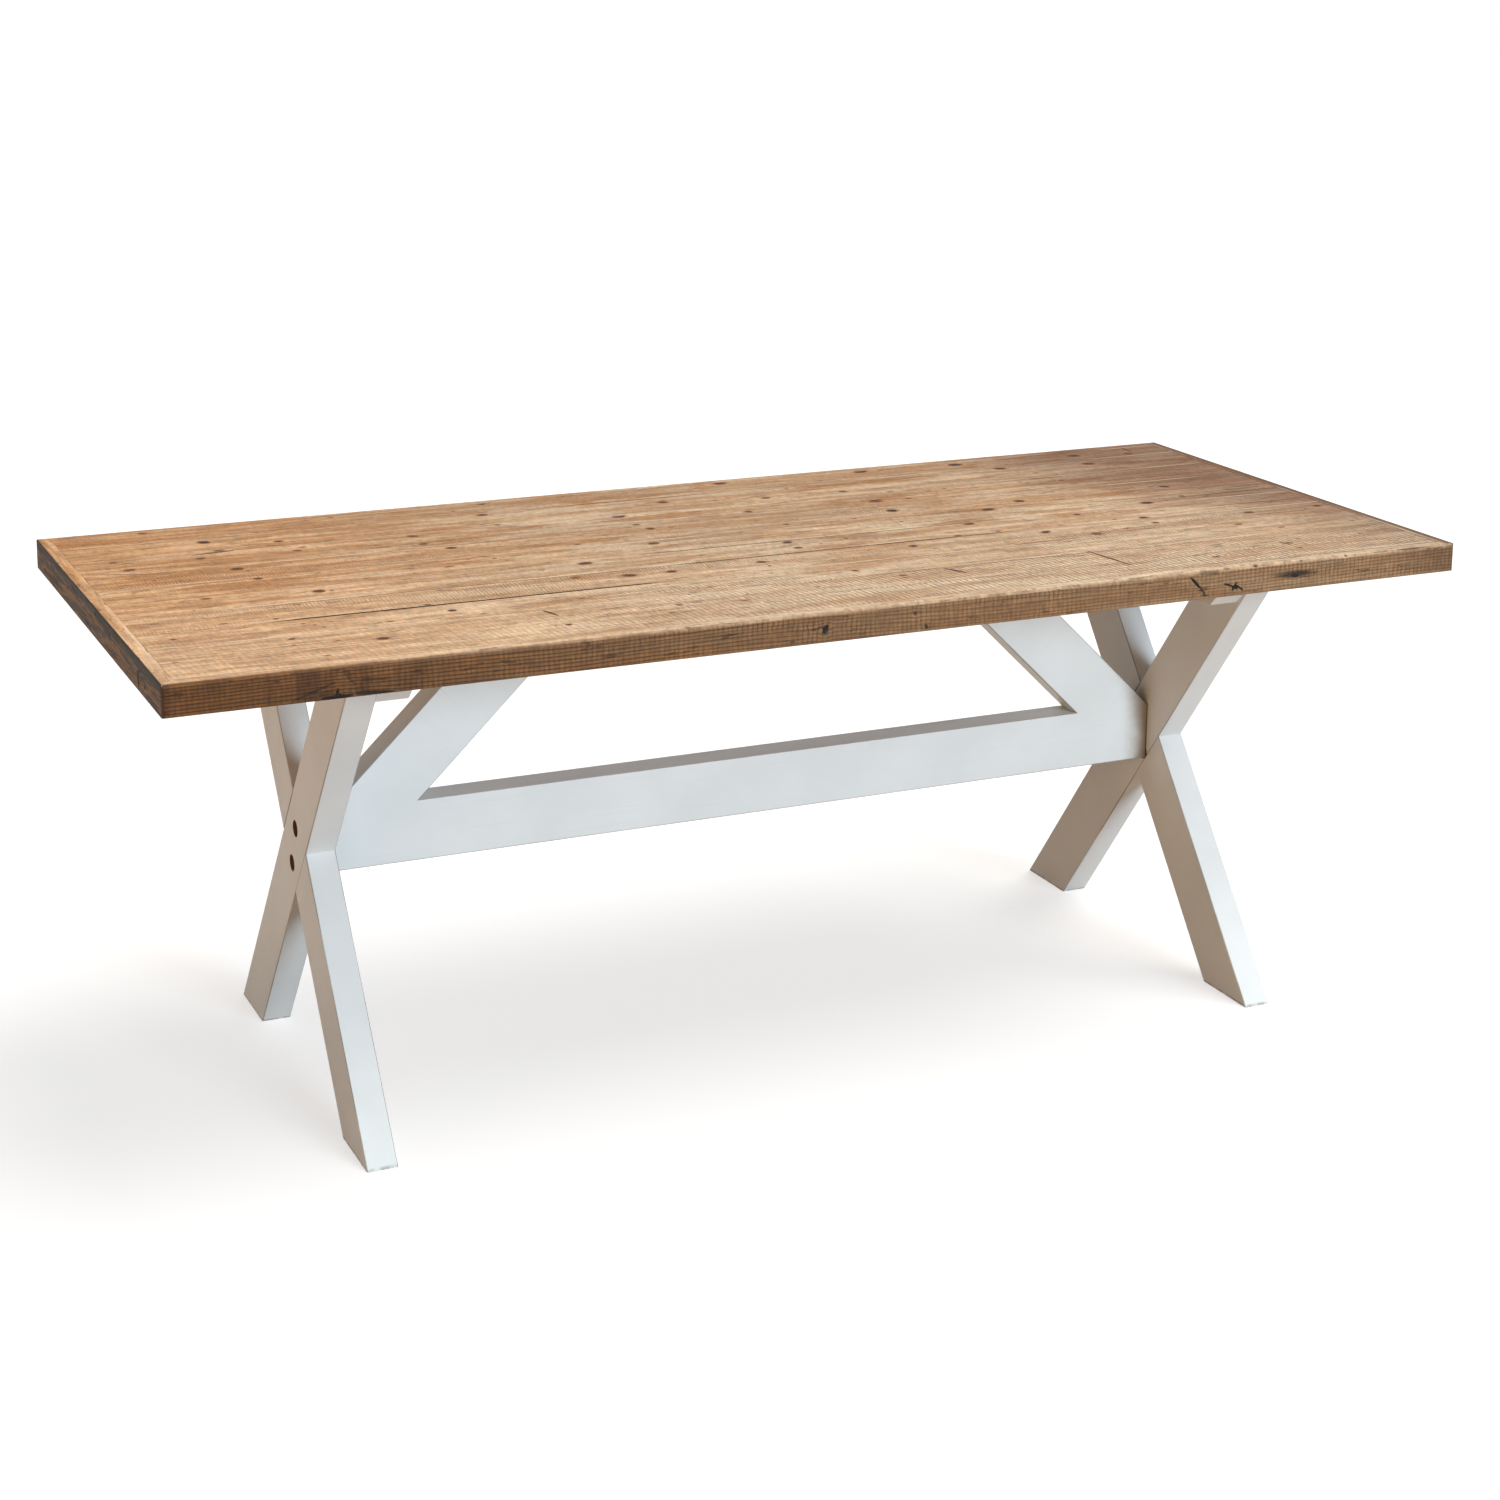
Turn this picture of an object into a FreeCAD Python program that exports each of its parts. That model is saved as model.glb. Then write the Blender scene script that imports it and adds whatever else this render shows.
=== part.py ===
import FreeCAD, Part
import os

import Sketcher
from FreeCAD import Placement, Rotation, Vector

# A sawbuck table. Millimetres, +Z up, +X along the table, -Y towards its front.
# The origin is on the floor, under the middle of the top.

doc = FreeCAD.newDocument("SawbuckTable")

# Driving dimensions: alias, millimetres, what it is
sizes = [
    # top
    ("tableHeight", 750, "floor to the face of the top"),
    ("topLength", 2000, "over the end lippings"),
    ("topThick", 44, "boards and lippings alike"),
    ("lipWidth", 20, "lipping, seen from above"),
    ("frontArris", 6, "worn round edge along the front"),
    ("sideArris", 3, "round edge along the back and the ends"),
    ("boardEase", 0.6, "small chamfer on the top corners of a board"),
    ("boardWidth1", 71, "back board, without its tongue"),
    ("boardWidth2", 93, "second board"),
    ("boardWidth3", 96, "third board"),
    ("boardWidth4", 80, "fourth board"),
    ("boardWidth5", 81, "fifth board, over the stretcher"),
    ("boardWidth6", 80, "sixth board"),
    ("boardWidth7", 88, "seventh board"),
    ("boardWidth8", 79, "eighth board"),
    ("boardWidth9", 67, "ninth board"),
    ("boardWidth10", 75, "front board"),
    ("tongueThick", 10, "tongue on a board's back edge and ends"),
    ("tongueLength", 7, "how far a tongue stands out"),
    ("tongueSlack", 0.2, "clearance each side of a tongue"),
    ("tongueSpare", 1, "room left beyond a tongue"),
    # crossed legs
    ("endOverhang", 258, "ends of the top beyond the outer faces of the legs, mean of both"),
    ("baseShift", 18, "middle of the base, to the right of the middle of the top"),
    ("legThick", 45, "along the table"),
    ("legWidth", 95, "across the leg"),
    ("footSpread", 561, "between the middles of a pair's feet"),
    ("crossLift", 14, "crossing of a pair's middles, above half the height of the legs"),
    ("lapSlack", 0.2, "clearance each side of a half-lap"),
    ("timberRound", 2.5, "rounding of the planed edges"),
    # stretcher and braces
    ("stretcherThick", 50, "stretcher and braces, front to back"),
    ("stretcherHeight", 92, "bottom edge to top edge"),
    ("braceWidth", 95, "square to its slope"),
    ("braceRun", 300, "from the legs to the brace's outer edge, under the top"),
    # cleats
    ("cleatWidth", 50, "along the table"),
    ("cleatHeight", 60, "under the boards"),
    ("cleatLength", 650, "at its top face"),
    ("cleatBevel", 60, "how much shorter each end is below"),
    # bolt into the stretcher and coach screw through the lap
    ("boltY", -8, "bolt, behind the middle of the crossing"),
    ("boltZ", 22, "bolt, above the middle of the crossing"),
    ("coachY", 15, "coach screw, behind the middle of the crossing"),
    ("coachZ", -38, "coach screw, above the middle of the crossing"),
    ("counterRadius", 12.5, "counterbore in the outer leg"),
    ("counterDepth", 15, "outer face to the washer's seat"),
    ("boltRadius", 5, "bolt and coach screw shank"),
    ("boltLength", 100, "bolt, under its head"),
    ("boltSlack", 0.5, "clearance round the bolt"),
    ("headCorner", 9.8, "middle of a hexagon head to its corners"),
    ("headHeight", 6.4, "hexagon head"),
    ("washerRadius", 10.5, "washer under each hexagon head"),
    ("washerThick", 2, "washer"),
    ("nutRadius", 8, "barrel nut"),
    ("nutLength", 20, "barrel nut"),
    ("nutBeyond", 5, "bolt end past the barrel nut"),
    ("coachCover", 2.5, "wood left beyond the tip of the coach screw"),
    ("fitSlack", 0.1, "clearance round dowels, screws and nuts in wood"),
    ("holeSpare", 1, "room left beyond the end of a dowel, bolt or screw"),
    # dowels
    ("dowelRadius", 5, "every dowel"),
    ("dowelDepth", 20, "stretcher dowel, in the stretcher"),
    ("dowelCover", 2.5, "wood left beyond the dowel in the lapped leg"),
    ("dowelY", -8, "stretcher dowel, behind the middle of the crossing"),
    ("dowelZ", -18, "stretcher dowel, above the middle of the crossing"),
    ("braceDowelLength", 50, "half in the brace, half in the stretcher"),
    ("braceDowelInset", 43, "from each end of the brace's foot"),
    ("braceDowelY", 10, "off the middle, clear of the bolt"),
    # wood screws
    ("topScrewRadius", 2.3, "cleat to board"),
    ("sideScrewRadius", 3, "cleat to leg, and brace to board"),
    ("screwHeadRadius", 4.5, "every wood screw"),
    ("screwHeadHeight", 3, "every wood screw"),
    ("screwSink", 10, "head below the face of the cleat"),
    ("screwSinkRadius", 5.5, "recess for a wood screw's head"),
    ("screwBite", 25, "length in the wood beyond"),
    ("braceScrewInset", 52, "from the inner end of the brace's top"),
    ("braceScrewSeat", 25, "wood between the head and the boards"),
]

sheet = doc.addObject("Spreadsheet::Sheet", "Sizes")
for row, (alias, value, note) in enumerate(sizes, start=1):
    sheet.set(f"A{row}", alias)
    sheet.set(f"B{row}", str(value))
    sheet.setAlias(f"B{row}", alias)
    sheet.set(f"C{row}", note)
doc.recompute()

# Lengths worked out from the driving dimensions, as expressions
dims = {alias: f"Sizes.{alias}" for alias, _, _ in sizes}
boardCount = sum(alias.startswith("boardWidth") for alias in dims)


def ex(text):
    """Write {name} of a driving or worked-out length as an expression."""
    return "(" + text.format(**dims) + ")"


dims["underside"] = ex("{tableHeight} - {topThick}")
dims["boardLength"] = ex("{topLength} - 2 * {lipWidth}")
dims["boardsWidth"] = ex(" + ".join(f"{{boardWidth{n + 1}}}" for n in range(boardCount)))
dims["topWidth"] = ex("{boardsWidth} + 2 * {lipWidth}")
dims["tongueLow"] = ex("({topThick} - {tongueThick}) / 2")
dims["tongueHigh"] = ex("({topThick} + {tongueThick}) / 2")
dims["grooveLow"] = ex("{tongueLow} - {tongueSlack}")
dims["grooveHigh"] = ex("{tongueHigh} + {tongueSlack}")
dims["grooveDepth"] = ex("{tongueLength} + {tongueSpare}")
dims["crossHeight"] = ex("{underside} / 2 + {crossLift}")
dims["legSlope"] = ex("{footSpread} / 2 / {crossHeight}")
dims["legHalf"] = ex("{legWidth} / 2 * sqrt(1 + {legSlope} ^ 2)")
dims["lapHalf"] = ex("({legWidth} / 2 + {lapSlack}) * sqrt(1 + {legSlope} ^ 2)")
dims["lapReach"] = ex("2 * {lapHalf} / {legSlope}")
dims["lapDepth"] = ex("{legThick} / 2")
dims["outerFace"] = ex("{topLength} / 2 - {endOverhang}")
dims["innerFace"] = ex("{outerFace} - {legThick}")
dims["stretcherTop"] = ex("{crossHeight} + {stretcherHeight} / 2")
dims["stretcherBase"] = ex("{crossHeight} - {stretcherHeight} / 2")
dims["braceRise"] = ex("{underside} - {stretcherTop}")
dims["braceFoot"] = ex("{braceWidth} * sqrt(1 + ({braceRun} / {braceRise}) ^ 2)")
dims["cleatBase"] = ex("{underside} - {cleatHeight}")
dims["cleatMiddle"] = ex("{underside} - {cleatHeight} / 2")
dims["boltHole"] = ex("{boltRadius} + {boltSlack}")
dims["boltAtEnd"] = ex("{boltLength} - {washerThick} - {legThick} + {counterDepth}")
dims["nutInset"] = ex("{boltAtEnd} - {nutRadius} - {nutBeyond}")
dims["coachLength"] = ex("{washerThick} + {legThick} - {counterDepth} - {coachCover}")
dims["coachInLap"] = ex("{lapDepth} - {coachCover}")
dims["dowelInLeg"] = ex("{lapDepth} - {dowelCover}")
dims["cleatScrewLift"] = ex("{cleatHeight} - {screwSink}")
dims["sideScrewY"] = ex("({cleatMiddle} - {crossHeight}) * {legSlope}")
dims["braceScrewX"] = ex("{braceRun} + {braceFoot} - {braceScrewInset}")
dims["topHole"] = ex("{topScrewRadius} + {fitSlack}")
dims["sideHole"] = ex("{sideScrewRadius} + {fitSlack}")
dims["dowelHole"] = ex("{dowelRadius} + {fitSlack}")
dims["bite"] = ex("{screwBite} + {holeSpare}")

# The board fronts, counted from the back, and the middles of the boards
for n in range(1, boardCount + 1):
    behind = " + ".join(f"{{boardWidth{k}}}" for k in range(1, n + 1))
    dims[f"boardFront{n}"] = ex("{boardsWidth} / 2 - (" + behind + ")")
    dims[f"boardMiddle{n}"] = ex(f"{{boardFront{n}}} + {{boardWidth{n}}} / 2")

# Boards over the full depth of the cleats, so each takes a screw from both
screwedBoards = range(3, boardCount - 1)
# The board over the middle of the table takes the two brace screws
middleBoard = 5

leftSide = -1
rightSide = 1
sides = {"left": leftSide, "right": rightSide}


def millimetres(expression):
    return float(sheet.evalExpression(expression))


def newBody(label):
    body = doc.addObject("PartDesign::Body", label)
    body.Label = label
    return body


def newSketch(body, name, role, offset="0"):
    """A sketch on one of the body's own planes, lifted off it by offset."""
    sketch = body.newObject("Sketcher::SketchObject", f"{body.Label}_{name}")
    plane = [feature for feature in body.Origin.OriginFeatures if feature.Role == role][0]
    sketch.AttachmentSupport = [(plane, "")]
    sketch.MapMode = "FlatFace"
    sketch.setExpression("AttachmentOffset.Base.z", offset)
    return sketch


def pin(sketch, geometry, point, x, y):
    """Hold one point of a sketch at the expressions x and y."""
    for kind, expression in (("DistanceX", x), ("DistanceY", y)):
        distance = Sketcher.Constraint(kind, -1, 1, geometry, point, millimetres(expression))
        index = sketch.addConstraint(distance)
        sketch.setExpression(f"Constraints[{index}]", expression)


def outline(sketch, corners):
    """A closed outline of straight lines through corners of (x, y) expressions."""
    points = [Vector(millimetres(x), millimetres(y), 0) for x, y in corners]
    lines = [
        sketch.addGeometry(Part.LineSegment(points[i], points[(i + 1) % len(points)]), False)
        for i in range(len(points))
    ]
    for i, line in enumerate(lines):
        following = lines[(i + 1) % len(lines)]
        sketch.addConstraint(Sketcher.Constraint("Coincident", line, 2, following, 1))
        pin(sketch, line, 1, *corners[i])


def rectangle(sketch, left, low, right, high):
    outline(sketch, [(left, low), (right, low), (right, high), (left, high)])


def circles(sketch, centres, radius):
    for x, y in centres:
        centre = Vector(millimetres(x), millimetres(y), 0)
        circle = sketch.addGeometry(Part.Circle(centre, Vector(0, 0, 1), millimetres(radius)), False)
        pin(sketch, circle, 3, x, y)
        index = sketch.addConstraint(Sketcher.Constraint("Radius", circle, millimetres(radius)))
        sketch.setExpression(f"Constraints[{index}]", radius)


def pad(body, sketch, length, midplane=False):
    feature = body.newObject("PartDesign::Pad", sketch.Name + "_pad")
    feature.Profile = sketch
    feature.Midplane = midplane
    feature.setExpression("Length", length)
    doc.recompute()
    return feature


def pocket(body, sketch, depth=None, along=False):
    """Cut against the sketch's normal, or along it. With no depth it cuts through, both ways."""
    feature = body.newObject("PartDesign::Pocket", sketch.Name + "_pocket")
    feature.Profile = sketch
    feature.Reversed = along
    if depth is None:
        feature.Type = "ThroughAll"
        feature.Midplane = True
    else:
        feature.setExpression("Length", depth)
    doc.recompute()
    return feature


def bore(body, name, role, face, centres, radius, depth, along=False):
    sketch = newSketch(body, name, role, face)
    circles(sketch, centres, radius)
    return pocket(body, sketch, depth, along)


def roundEdges(body, radius, wanted):
    """Fillet the edges of the body's tip whose direction and middle are wanted."""
    tip = body.Tip
    names = []
    for number, edge in enumerate(tip.Shape.Edges, start=1):
        direction = (edge.lastVertex().Point - edge.firstVertex().Point).normalize()
        if wanted(direction, edge.CenterOfMass):
            names.append(f"Edge{number}")
    feature = body.newObject("PartDesign::Fillet", body.Label + "_round")
    feature.Base = (tip, names)
    feature.setExpression("Radius", radius)
    doc.recompute()
    return feature


def place(item, x="0", y="0", z="0", turn=Rotation()):
    item.Placement = Placement(Vector(0, 0, 0), turn)
    for axis, expression in (("x", x), ("y", y), ("z", z)):
        item.setExpression(f"Placement.Base.{axis}", expression)


def fromBase(side, distance):
    """Position along the table of what stands at a distance from the middle of the base."""
    return ex(f"{{baseShift}} + {side} * ({distance})")


def placeAtSide(item, side, distance):
    """Place a piece drawn for the left end, or turned half round for the right end."""
    turn = Rotation(Vector(0, 0, 1), 180 if side == rightSide else 0)
    place(item, fromBase(side, distance), turn=turn)


# ---- Top: boards with a tongue at the back edge and a groove at the front edge

def makeBoard(number):
    body = newBody(f"top_board_{number:02d}")
    width = dims[f"boardWidth{number}"]
    front = dims[f"boardFront{number}"]
    profile = newSketch(body, "profile", "YZ_Plane")
    tongueEnd = ex(f"{width} + {{tongueLength}}")
    shoulder = ex("{topThick} - {boardEase}")
    outline(profile, [
        ("0", "0"),
        (width, "0"),
        (width, dims["tongueLow"]),
        (tongueEnd, dims["tongueLow"]),
        (tongueEnd, dims["tongueHigh"]),
        (width, dims["tongueHigh"]),
        (width, shoulder),
        (ex(f"{width} - {{boardEase}}"), dims["topThick"]),
        (dims["boardEase"], dims["topThick"]),
        ("0", shoulder),
        ("0", dims["grooveHigh"]),
        (dims["grooveDepth"], dims["grooveHigh"]),
        (dims["grooveDepth"], dims["grooveLow"]),
        ("0", dims["grooveLow"]),
    ])
    pad(body, profile, ex("{boardLength} + 2 * {tongueLength}"), midplane=True)

    # what is cut away above and below the tongue at each end
    rebates = newSketch(body, "end_rebates", "XZ_Plane")
    for side in sides.values():
        shoulderX = ex(f"{side} * {{boardLength}} / 2")
        beyond = ex(f"{side} * ({{boardLength}} / 2 + 2 * {{tongueLength}})")
        left, right = (beyond, shoulderX) if side == leftSide else (shoulderX, beyond)
        rectangle(rebates, left, ex("-{topThick}"), right, dims["tongueLow"])
        rectangle(rebates, left, dims["tongueHigh"], right, ex("2 * {topThick}"))
    pocket(body, rebates)

    if number in screwedBoards:
        cleatX = "{innerFace} - {cleatWidth} / 2"
        centres = [(fromBase(side, cleatX), ex(f"{width} / 2")) for side in sides.values()]
        bore(body, "cleat_screws", "XY_Plane", "0", centres, dims["topHole"], dims["bite"], along=True)
    if number == middleBoard:
        screwX = "{innerFace} - {braceScrewX}"
        centres = [(fromBase(side, screwX), ex(f"-{front}")) for side in sides.values()]
        bore(body, "brace_screws", "XY_Plane", "0", centres, dims["sideHole"], dims["bite"], along=True)
    place(body, y=front, z=dims["underside"])
    return body


# ---- Top: lippings, drawn with the outer edge at Y = 0 and the boards beyond the inner edge

def makeLipping(label, length, arris, turn, x, y, tongued=False):
    body = newBody(label)
    plan = newSketch(body, "plan", "XY_Plane")
    half = ex(f"{length} / 2")
    inner = ex(f"{length} / 2 - {{lipWidth}}")
    outline(plan, [
        (ex(f"-{half}"), "0"),
        (half, "0"),
        (inner, dims["lipWidth"]),
        (ex(f"-{inner}"), dims["lipWidth"]),
    ])
    pad(body, plan, dims["topThick"])
    halfway = millimetres(dims["topThick"]) / 2
    roundEdges(body, arris,
               lambda along, middle: abs(along.x) > 0.99 and middle.y < 1 and middle.z > halfway)
    if tongued:
        tongue = newSketch(body, "tongue", "XY_Plane", dims["tongueLow"])
        reach = ex("{lipWidth} + {tongueLength}")
        rectangle(tongue, ex(f"-{inner}"), dims["lipWidth"], inner, reach)
        pad(body, tongue, dims["tongueThick"])
    else:
        groove = newSketch(body, "groove", "XY_Plane", dims["grooveLow"])
        grooveEnd = ex(f"{inner} + {{grooveDepth}}")
        floor = ex("{lipWidth} - {grooveDepth}")
        rectangle(groove, ex(f"-{grooveEnd}"), floor, grooveEnd, ex("2 * {lipWidth}"))
        pocket(body, groove, ex("{grooveHigh} - {grooveLow}"), along=True)
    place(body, x, y, dims["underside"], Rotation(Vector(0, 0, 1), turn))
    return body


# ---- Base: crossed legs, drawn from the outer face of the left pair, +X inwards

def makeLeg(label, side, outer):
    """The outer leg of a pair is lapped on its inner face and takes the counterbores."""
    body = newBody(label)
    lean = -1 if outer else 1

    def onLine(height, shift):
        return ex(f"{lean} * ({height} - {{crossHeight}}) * {{legSlope}} + {shift}")

    def onOtherLine(height, shift):
        return ex(f"{-lean} * ({height} - {{crossHeight}}) * {{legSlope}} + {shift}")

    half = dims["legHalf"]
    profile = newSketch(body, "profile", "YZ_Plane")
    outline(profile, [
        (onLine("0", f"-{half}"), "0"),
        (onLine("0", half), "0"),
        (onLine("{underside}", half), dims["underside"]),
        (onLine("{underside}", f"-{half}"), dims["underside"]),
    ])
    pad(body, profile, dims["legThick"])
    roundEdges(body, dims["timberRound"], lambda along, middle: abs(along.x) < 0.01 and abs(along.z) > 0.1)

    lap = newSketch(body, "lap", "YZ_Plane", dims["legThick"] if outer else "0")
    wide = dims["lapHalf"]
    low = ex("{crossHeight} - {lapReach}")
    high = ex("{crossHeight} + {lapReach}")
    outline(lap, [
        (onOtherLine(low, f"-{wide}"), low),
        (onOtherLine(low, wide), low),
        (onOtherLine(high, wide), high),
        (onOtherLine(high, f"-{wide}"), high),
    ])
    pocket(body, lap, dims["lapDepth"], along=not outer)

    bolt = (dims["boltY"], ex("{crossHeight} + {boltZ}"))
    coach = (dims["coachY"], ex("{crossHeight} + {coachZ}"))
    if outer:
        bore(body, "counterbores", "YZ_Plane", "0", [bolt, coach],
             dims["counterRadius"], dims["counterDepth"], along=True)
        bore(body, "bolt_holes", "YZ_Plane", "0", [bolt, coach],
             dims["boltHole"], dims["legThick"], along=True)
    else:
        dowel = (dims["dowelY"], ex("{crossHeight} + {dowelZ}"))
        bore(body, "bolt_hole", "YZ_Plane", "0", [bolt], dims["boltHole"], dims["legThick"], along=True)
        bore(body, "coach_hole", "YZ_Plane", dims["lapDepth"], [coach],
             ex("{boltRadius} + {fitSlack}"), ex("{coachInLap} + {holeSpare}"), along=True)
        bore(body, "dowel_hole", "YZ_Plane", dims["legThick"], [dowel],
             dims["dowelHole"], ex("{dowelInLeg} + {holeSpare}"))
    screw = (onLine("{cleatMiddle}", "0"), dims["cleatMiddle"])
    bore(body, "cleat_screw", "YZ_Plane", dims["legThick"], [screw], dims["sideHole"], dims["bite"])
    placeAtSide(body, side, "{outerFace}")
    return body


# ---- Base: stretcher between the crossings

# Brace dowels, from the face of the legs
braceDowelInsets = [dims["braceDowelInset"], ex("{braceFoot} - {braceDowelInset}")]


def makeStretcher():
    body = newBody("stretcher")
    section = newSketch(body, "section", "YZ_Plane")
    half = ex("{stretcherThick} / 2")
    rectangle(section, ex(f"-{half}"), dims["stretcherBase"], half, dims["stretcherTop"])
    pad(body, section, ex("2 * {innerFace}"), midplane=True)
    halfway = millimetres(dims["crossHeight"])
    roundEdges(body, dims["timberRound"],
               lambda along, middle: abs(along.x) > 0.99 and middle.z < halfway)

    for name, side in sides.items():
        # a piece at the right end is turned half round, so its Y changes sign
        boltY = ex(f"{-side} * {{boltY}}")
        dowelY = ex(f"{-side} * {{dowelY}}")
        face = ex(f"{side} * {{innerFace}}")
        inwards = side == leftSide
        bore(body, f"bolt_hole_{name}", "YZ_Plane", face, [(boltY, ex("{crossHeight} + {boltZ}"))],
             dims["boltHole"], ex("{boltAtEnd} + {holeSpare}"), along=inwards)
        bore(body, f"dowel_hole_{name}", "YZ_Plane", face, [(dowelY, ex("{crossHeight} + {dowelZ}"))],
             dims["dowelHole"], ex("{dowelDepth} + {holeSpare}"), along=inwards)
        nutX = ex(f"{side} * ({{innerFace}} - {{nutInset}})")
        bore(body, f"nut_hole_{name}", "XY_Plane", dims["stretcherBase"], [(nutX, boltY)],
             ex("{nutRadius} + {fitSlack}"),
             ex("{stretcherHeight} / 2 + {boltZ} + {nutLength} / 2 + {holeSpare}"), along=True)
        centres = [
            (ex(f"{side} * ({{innerFace}} - {inset})"), ex(f"{-side} * {{braceDowelY}}"))
            for inset in braceDowelInsets
        ]
        bore(body, f"brace_dowels_{name}", "XY_Plane", dims["stretcherTop"], centres,
             dims["dowelHole"], ex("{braceDowelLength} / 2 + {holeSpare}"))
    place(body, dims["baseShift"])
    return body


# ---- Base: braces and cleats, drawn from the inner face of the left legs, +X inwards

def makeBrace(label, side):
    body = newBody(label)
    profile = newSketch(body, "profile", "XZ_Plane")
    outline(profile, [
        ("0", dims["stretcherTop"]),
        (dims["braceFoot"], dims["stretcherTop"]),
        (ex("{braceRun} + {braceFoot}"), dims["underside"]),
        (dims["braceRun"], dims["underside"]),
    ])
    pad(body, profile, dims["stretcherThick"], midplane=True)
    roundEdges(body, dims["timberRound"],
               lambda along, middle: abs(along.x) > 0.1 and abs(along.z) > 0.1)
    centres = [(inset, dims["braceDowelY"]) for inset in braceDowelInsets]
    bore(body, "dowels", "XY_Plane", dims["stretcherTop"], centres,
         dims["dowelHole"], ex("{braceDowelLength} / 2 + {holeSpare}"), along=True)
    seat = ex("{underside} - {braceScrewSeat}")
    screw = [(dims["braceScrewX"], "0")]
    bore(body, "screw_hole", "XY_Plane", seat, screw, dims["sideHole"],
         dims["braceScrewSeat"], along=True)
    bore(body, "screw_sink", "XY_Plane", seat, screw, dims["screwSinkRadius"], dims["braceWidth"])
    placeAtSide(body, side, "{innerFace}")
    return body


def makeCleat(label, side):
    body = newBody(label)
    profile = newSketch(body, "profile", "YZ_Plane")
    outline(profile, [
        (ex("-{cleatLength} / 2 + {cleatBevel}"), dims["cleatBase"]),
        (ex("{cleatLength} / 2 - {cleatBevel}"), dims["cleatBase"]),
        (ex("{cleatLength} / 2"), dims["underside"]),
        (ex("-{cleatLength} / 2"), dims["underside"]),
    ])
    pad(body, profile, dims["cleatWidth"])
    halfway = millimetres(dims["cleatMiddle"])
    roundEdges(body, dims["timberRound"],
               lambda along, middle: abs(along.y) > 0.99 and middle.z < halfway and middle.x > 1)

    upright = [(ex("{cleatWidth} / 2"), ex(f"{-side} * {{boardMiddle{n}}}")) for n in screwedBoards]
    bore(body, "top_holes", "XY_Plane", dims["cleatBase"], upright, dims["topHole"],
         dims["cleatHeight"], along=True)
    bore(body, "top_sinks", "XY_Plane", dims["cleatBase"], upright, dims["screwSinkRadius"],
         dims["screwSink"], along=True)
    level = [(ex(f"{end} * {{sideScrewY}}"), dims["cleatMiddle"]) for end in (-1, 1)]
    bore(body, "leg_holes", "YZ_Plane", "0", level, dims["sideHole"], dims["cleatWidth"], along=True)
    bore(body, "leg_sinks", "YZ_Plane", dims["cleatWidth"], level, dims["screwSinkRadius"],
         dims["screwSink"])
    placeAtSide(body, side, "{innerFace}")
    return body


# ---- Fasteners, drawn with the seat of the head at Z = 0 and the shank along +Z

def turned(kind, name, **lengths):
    item = doc.addObject(kind, name)
    for prop, expression in lengths.items():
        item.setExpression(prop, expression)
    return item


def joined(name, pieces):
    whole = doc.addObject("Part::MultiFuse", name)
    whole.Shapes = pieces
    return whole


def group(label, pieces):
    whole = doc.addObject("Part::Compound", label)
    whole.Label = label
    whole.Links = pieces
    return whole


def hexScrew(name, length, pointed=False):
    head = turned("Part::Prism", name + "_head", Circumradius=dims["headCorner"], Height=dims["headHeight"])
    head.Polygon = 6
    place(head, z=ex("-{headHeight}"))
    tip = dims["boltRadius"] if pointed else "0"
    shank = turned("Part::Cylinder", name + "_shank", Radius=dims["boltRadius"],
                   Height=ex(f"{length} - {tip}"))
    pieces = [head, shank]
    if pointed:
        point = turned("Part::Cone", name + "_point", Radius1=dims["boltRadius"],
                       Radius2=ex("{boltRadius} / 4"), Height=tip)
        place(point, z=ex(f"{length} - {tip}"))
        pieces.append(point)
    return joined(name, pieces)


def woodScrew(name, radius, length):
    head = turned("Part::Cylinder", name + "_head", Radius=dims["screwHeadRadius"],
                  Height=dims["screwHeadHeight"])
    place(head, z=ex("-{screwHeadHeight}"))
    shank = turned("Part::Cylinder", name + "_shank", Radius=radius, Height=length)
    return joined(name, [head, shank])


def washer(name):
    disc = turned("Part::Cylinder", name + "_disc", Radius=dims["washerRadius"], Height=dims["washerThick"])
    hole = turned("Part::Cylinder", name + "_hole", Radius=dims["boltHole"], Height=dims["washerThick"])
    ring = doc.addObject("Part::Cut", name)
    ring.Base = disc
    ring.Tool = hole
    return ring


def barrelNut(name):
    """An upright cylinder about its own middle, with the bolt's hole along X."""
    barrel = turned("Part::Cylinder", name + "_barrel", Radius=dims["nutRadius"], Height=dims["nutLength"])
    place(barrel, z=ex("-{nutLength} / 2"))
    hole = turned("Part::Cylinder", name + "_hole", Radius=ex("{boltRadius} + {fitSlack}"),
                  Height=ex("2 * {nutRadius}"))
    place(hole, x=ex("-{nutRadius}"), turn=Rotation(Vector(0, 1, 0), 90))
    nut = doc.addObject("Part::Cut", name)
    nut.Base = barrel
    nut.Tool = hole
    return nut


def placeInwards(item, side, distance, y, z):
    """Lay a fastener along X, pointing to the middle of the table."""
    turn = Rotation(Vector(0, 1, 0), -side * 90)
    place(item, fromBase(side, distance), ex(f"{-side} * {y}"), z, turn)


boltHeight = ex("{crossHeight} + {boltZ}")
coachHeight = ex("{crossHeight} + {coachZ}")
# the heads bear on washers at the bottom of the counterbores
headSeat = "{outerFace} - {counterDepth} + {washerThick}"


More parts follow.
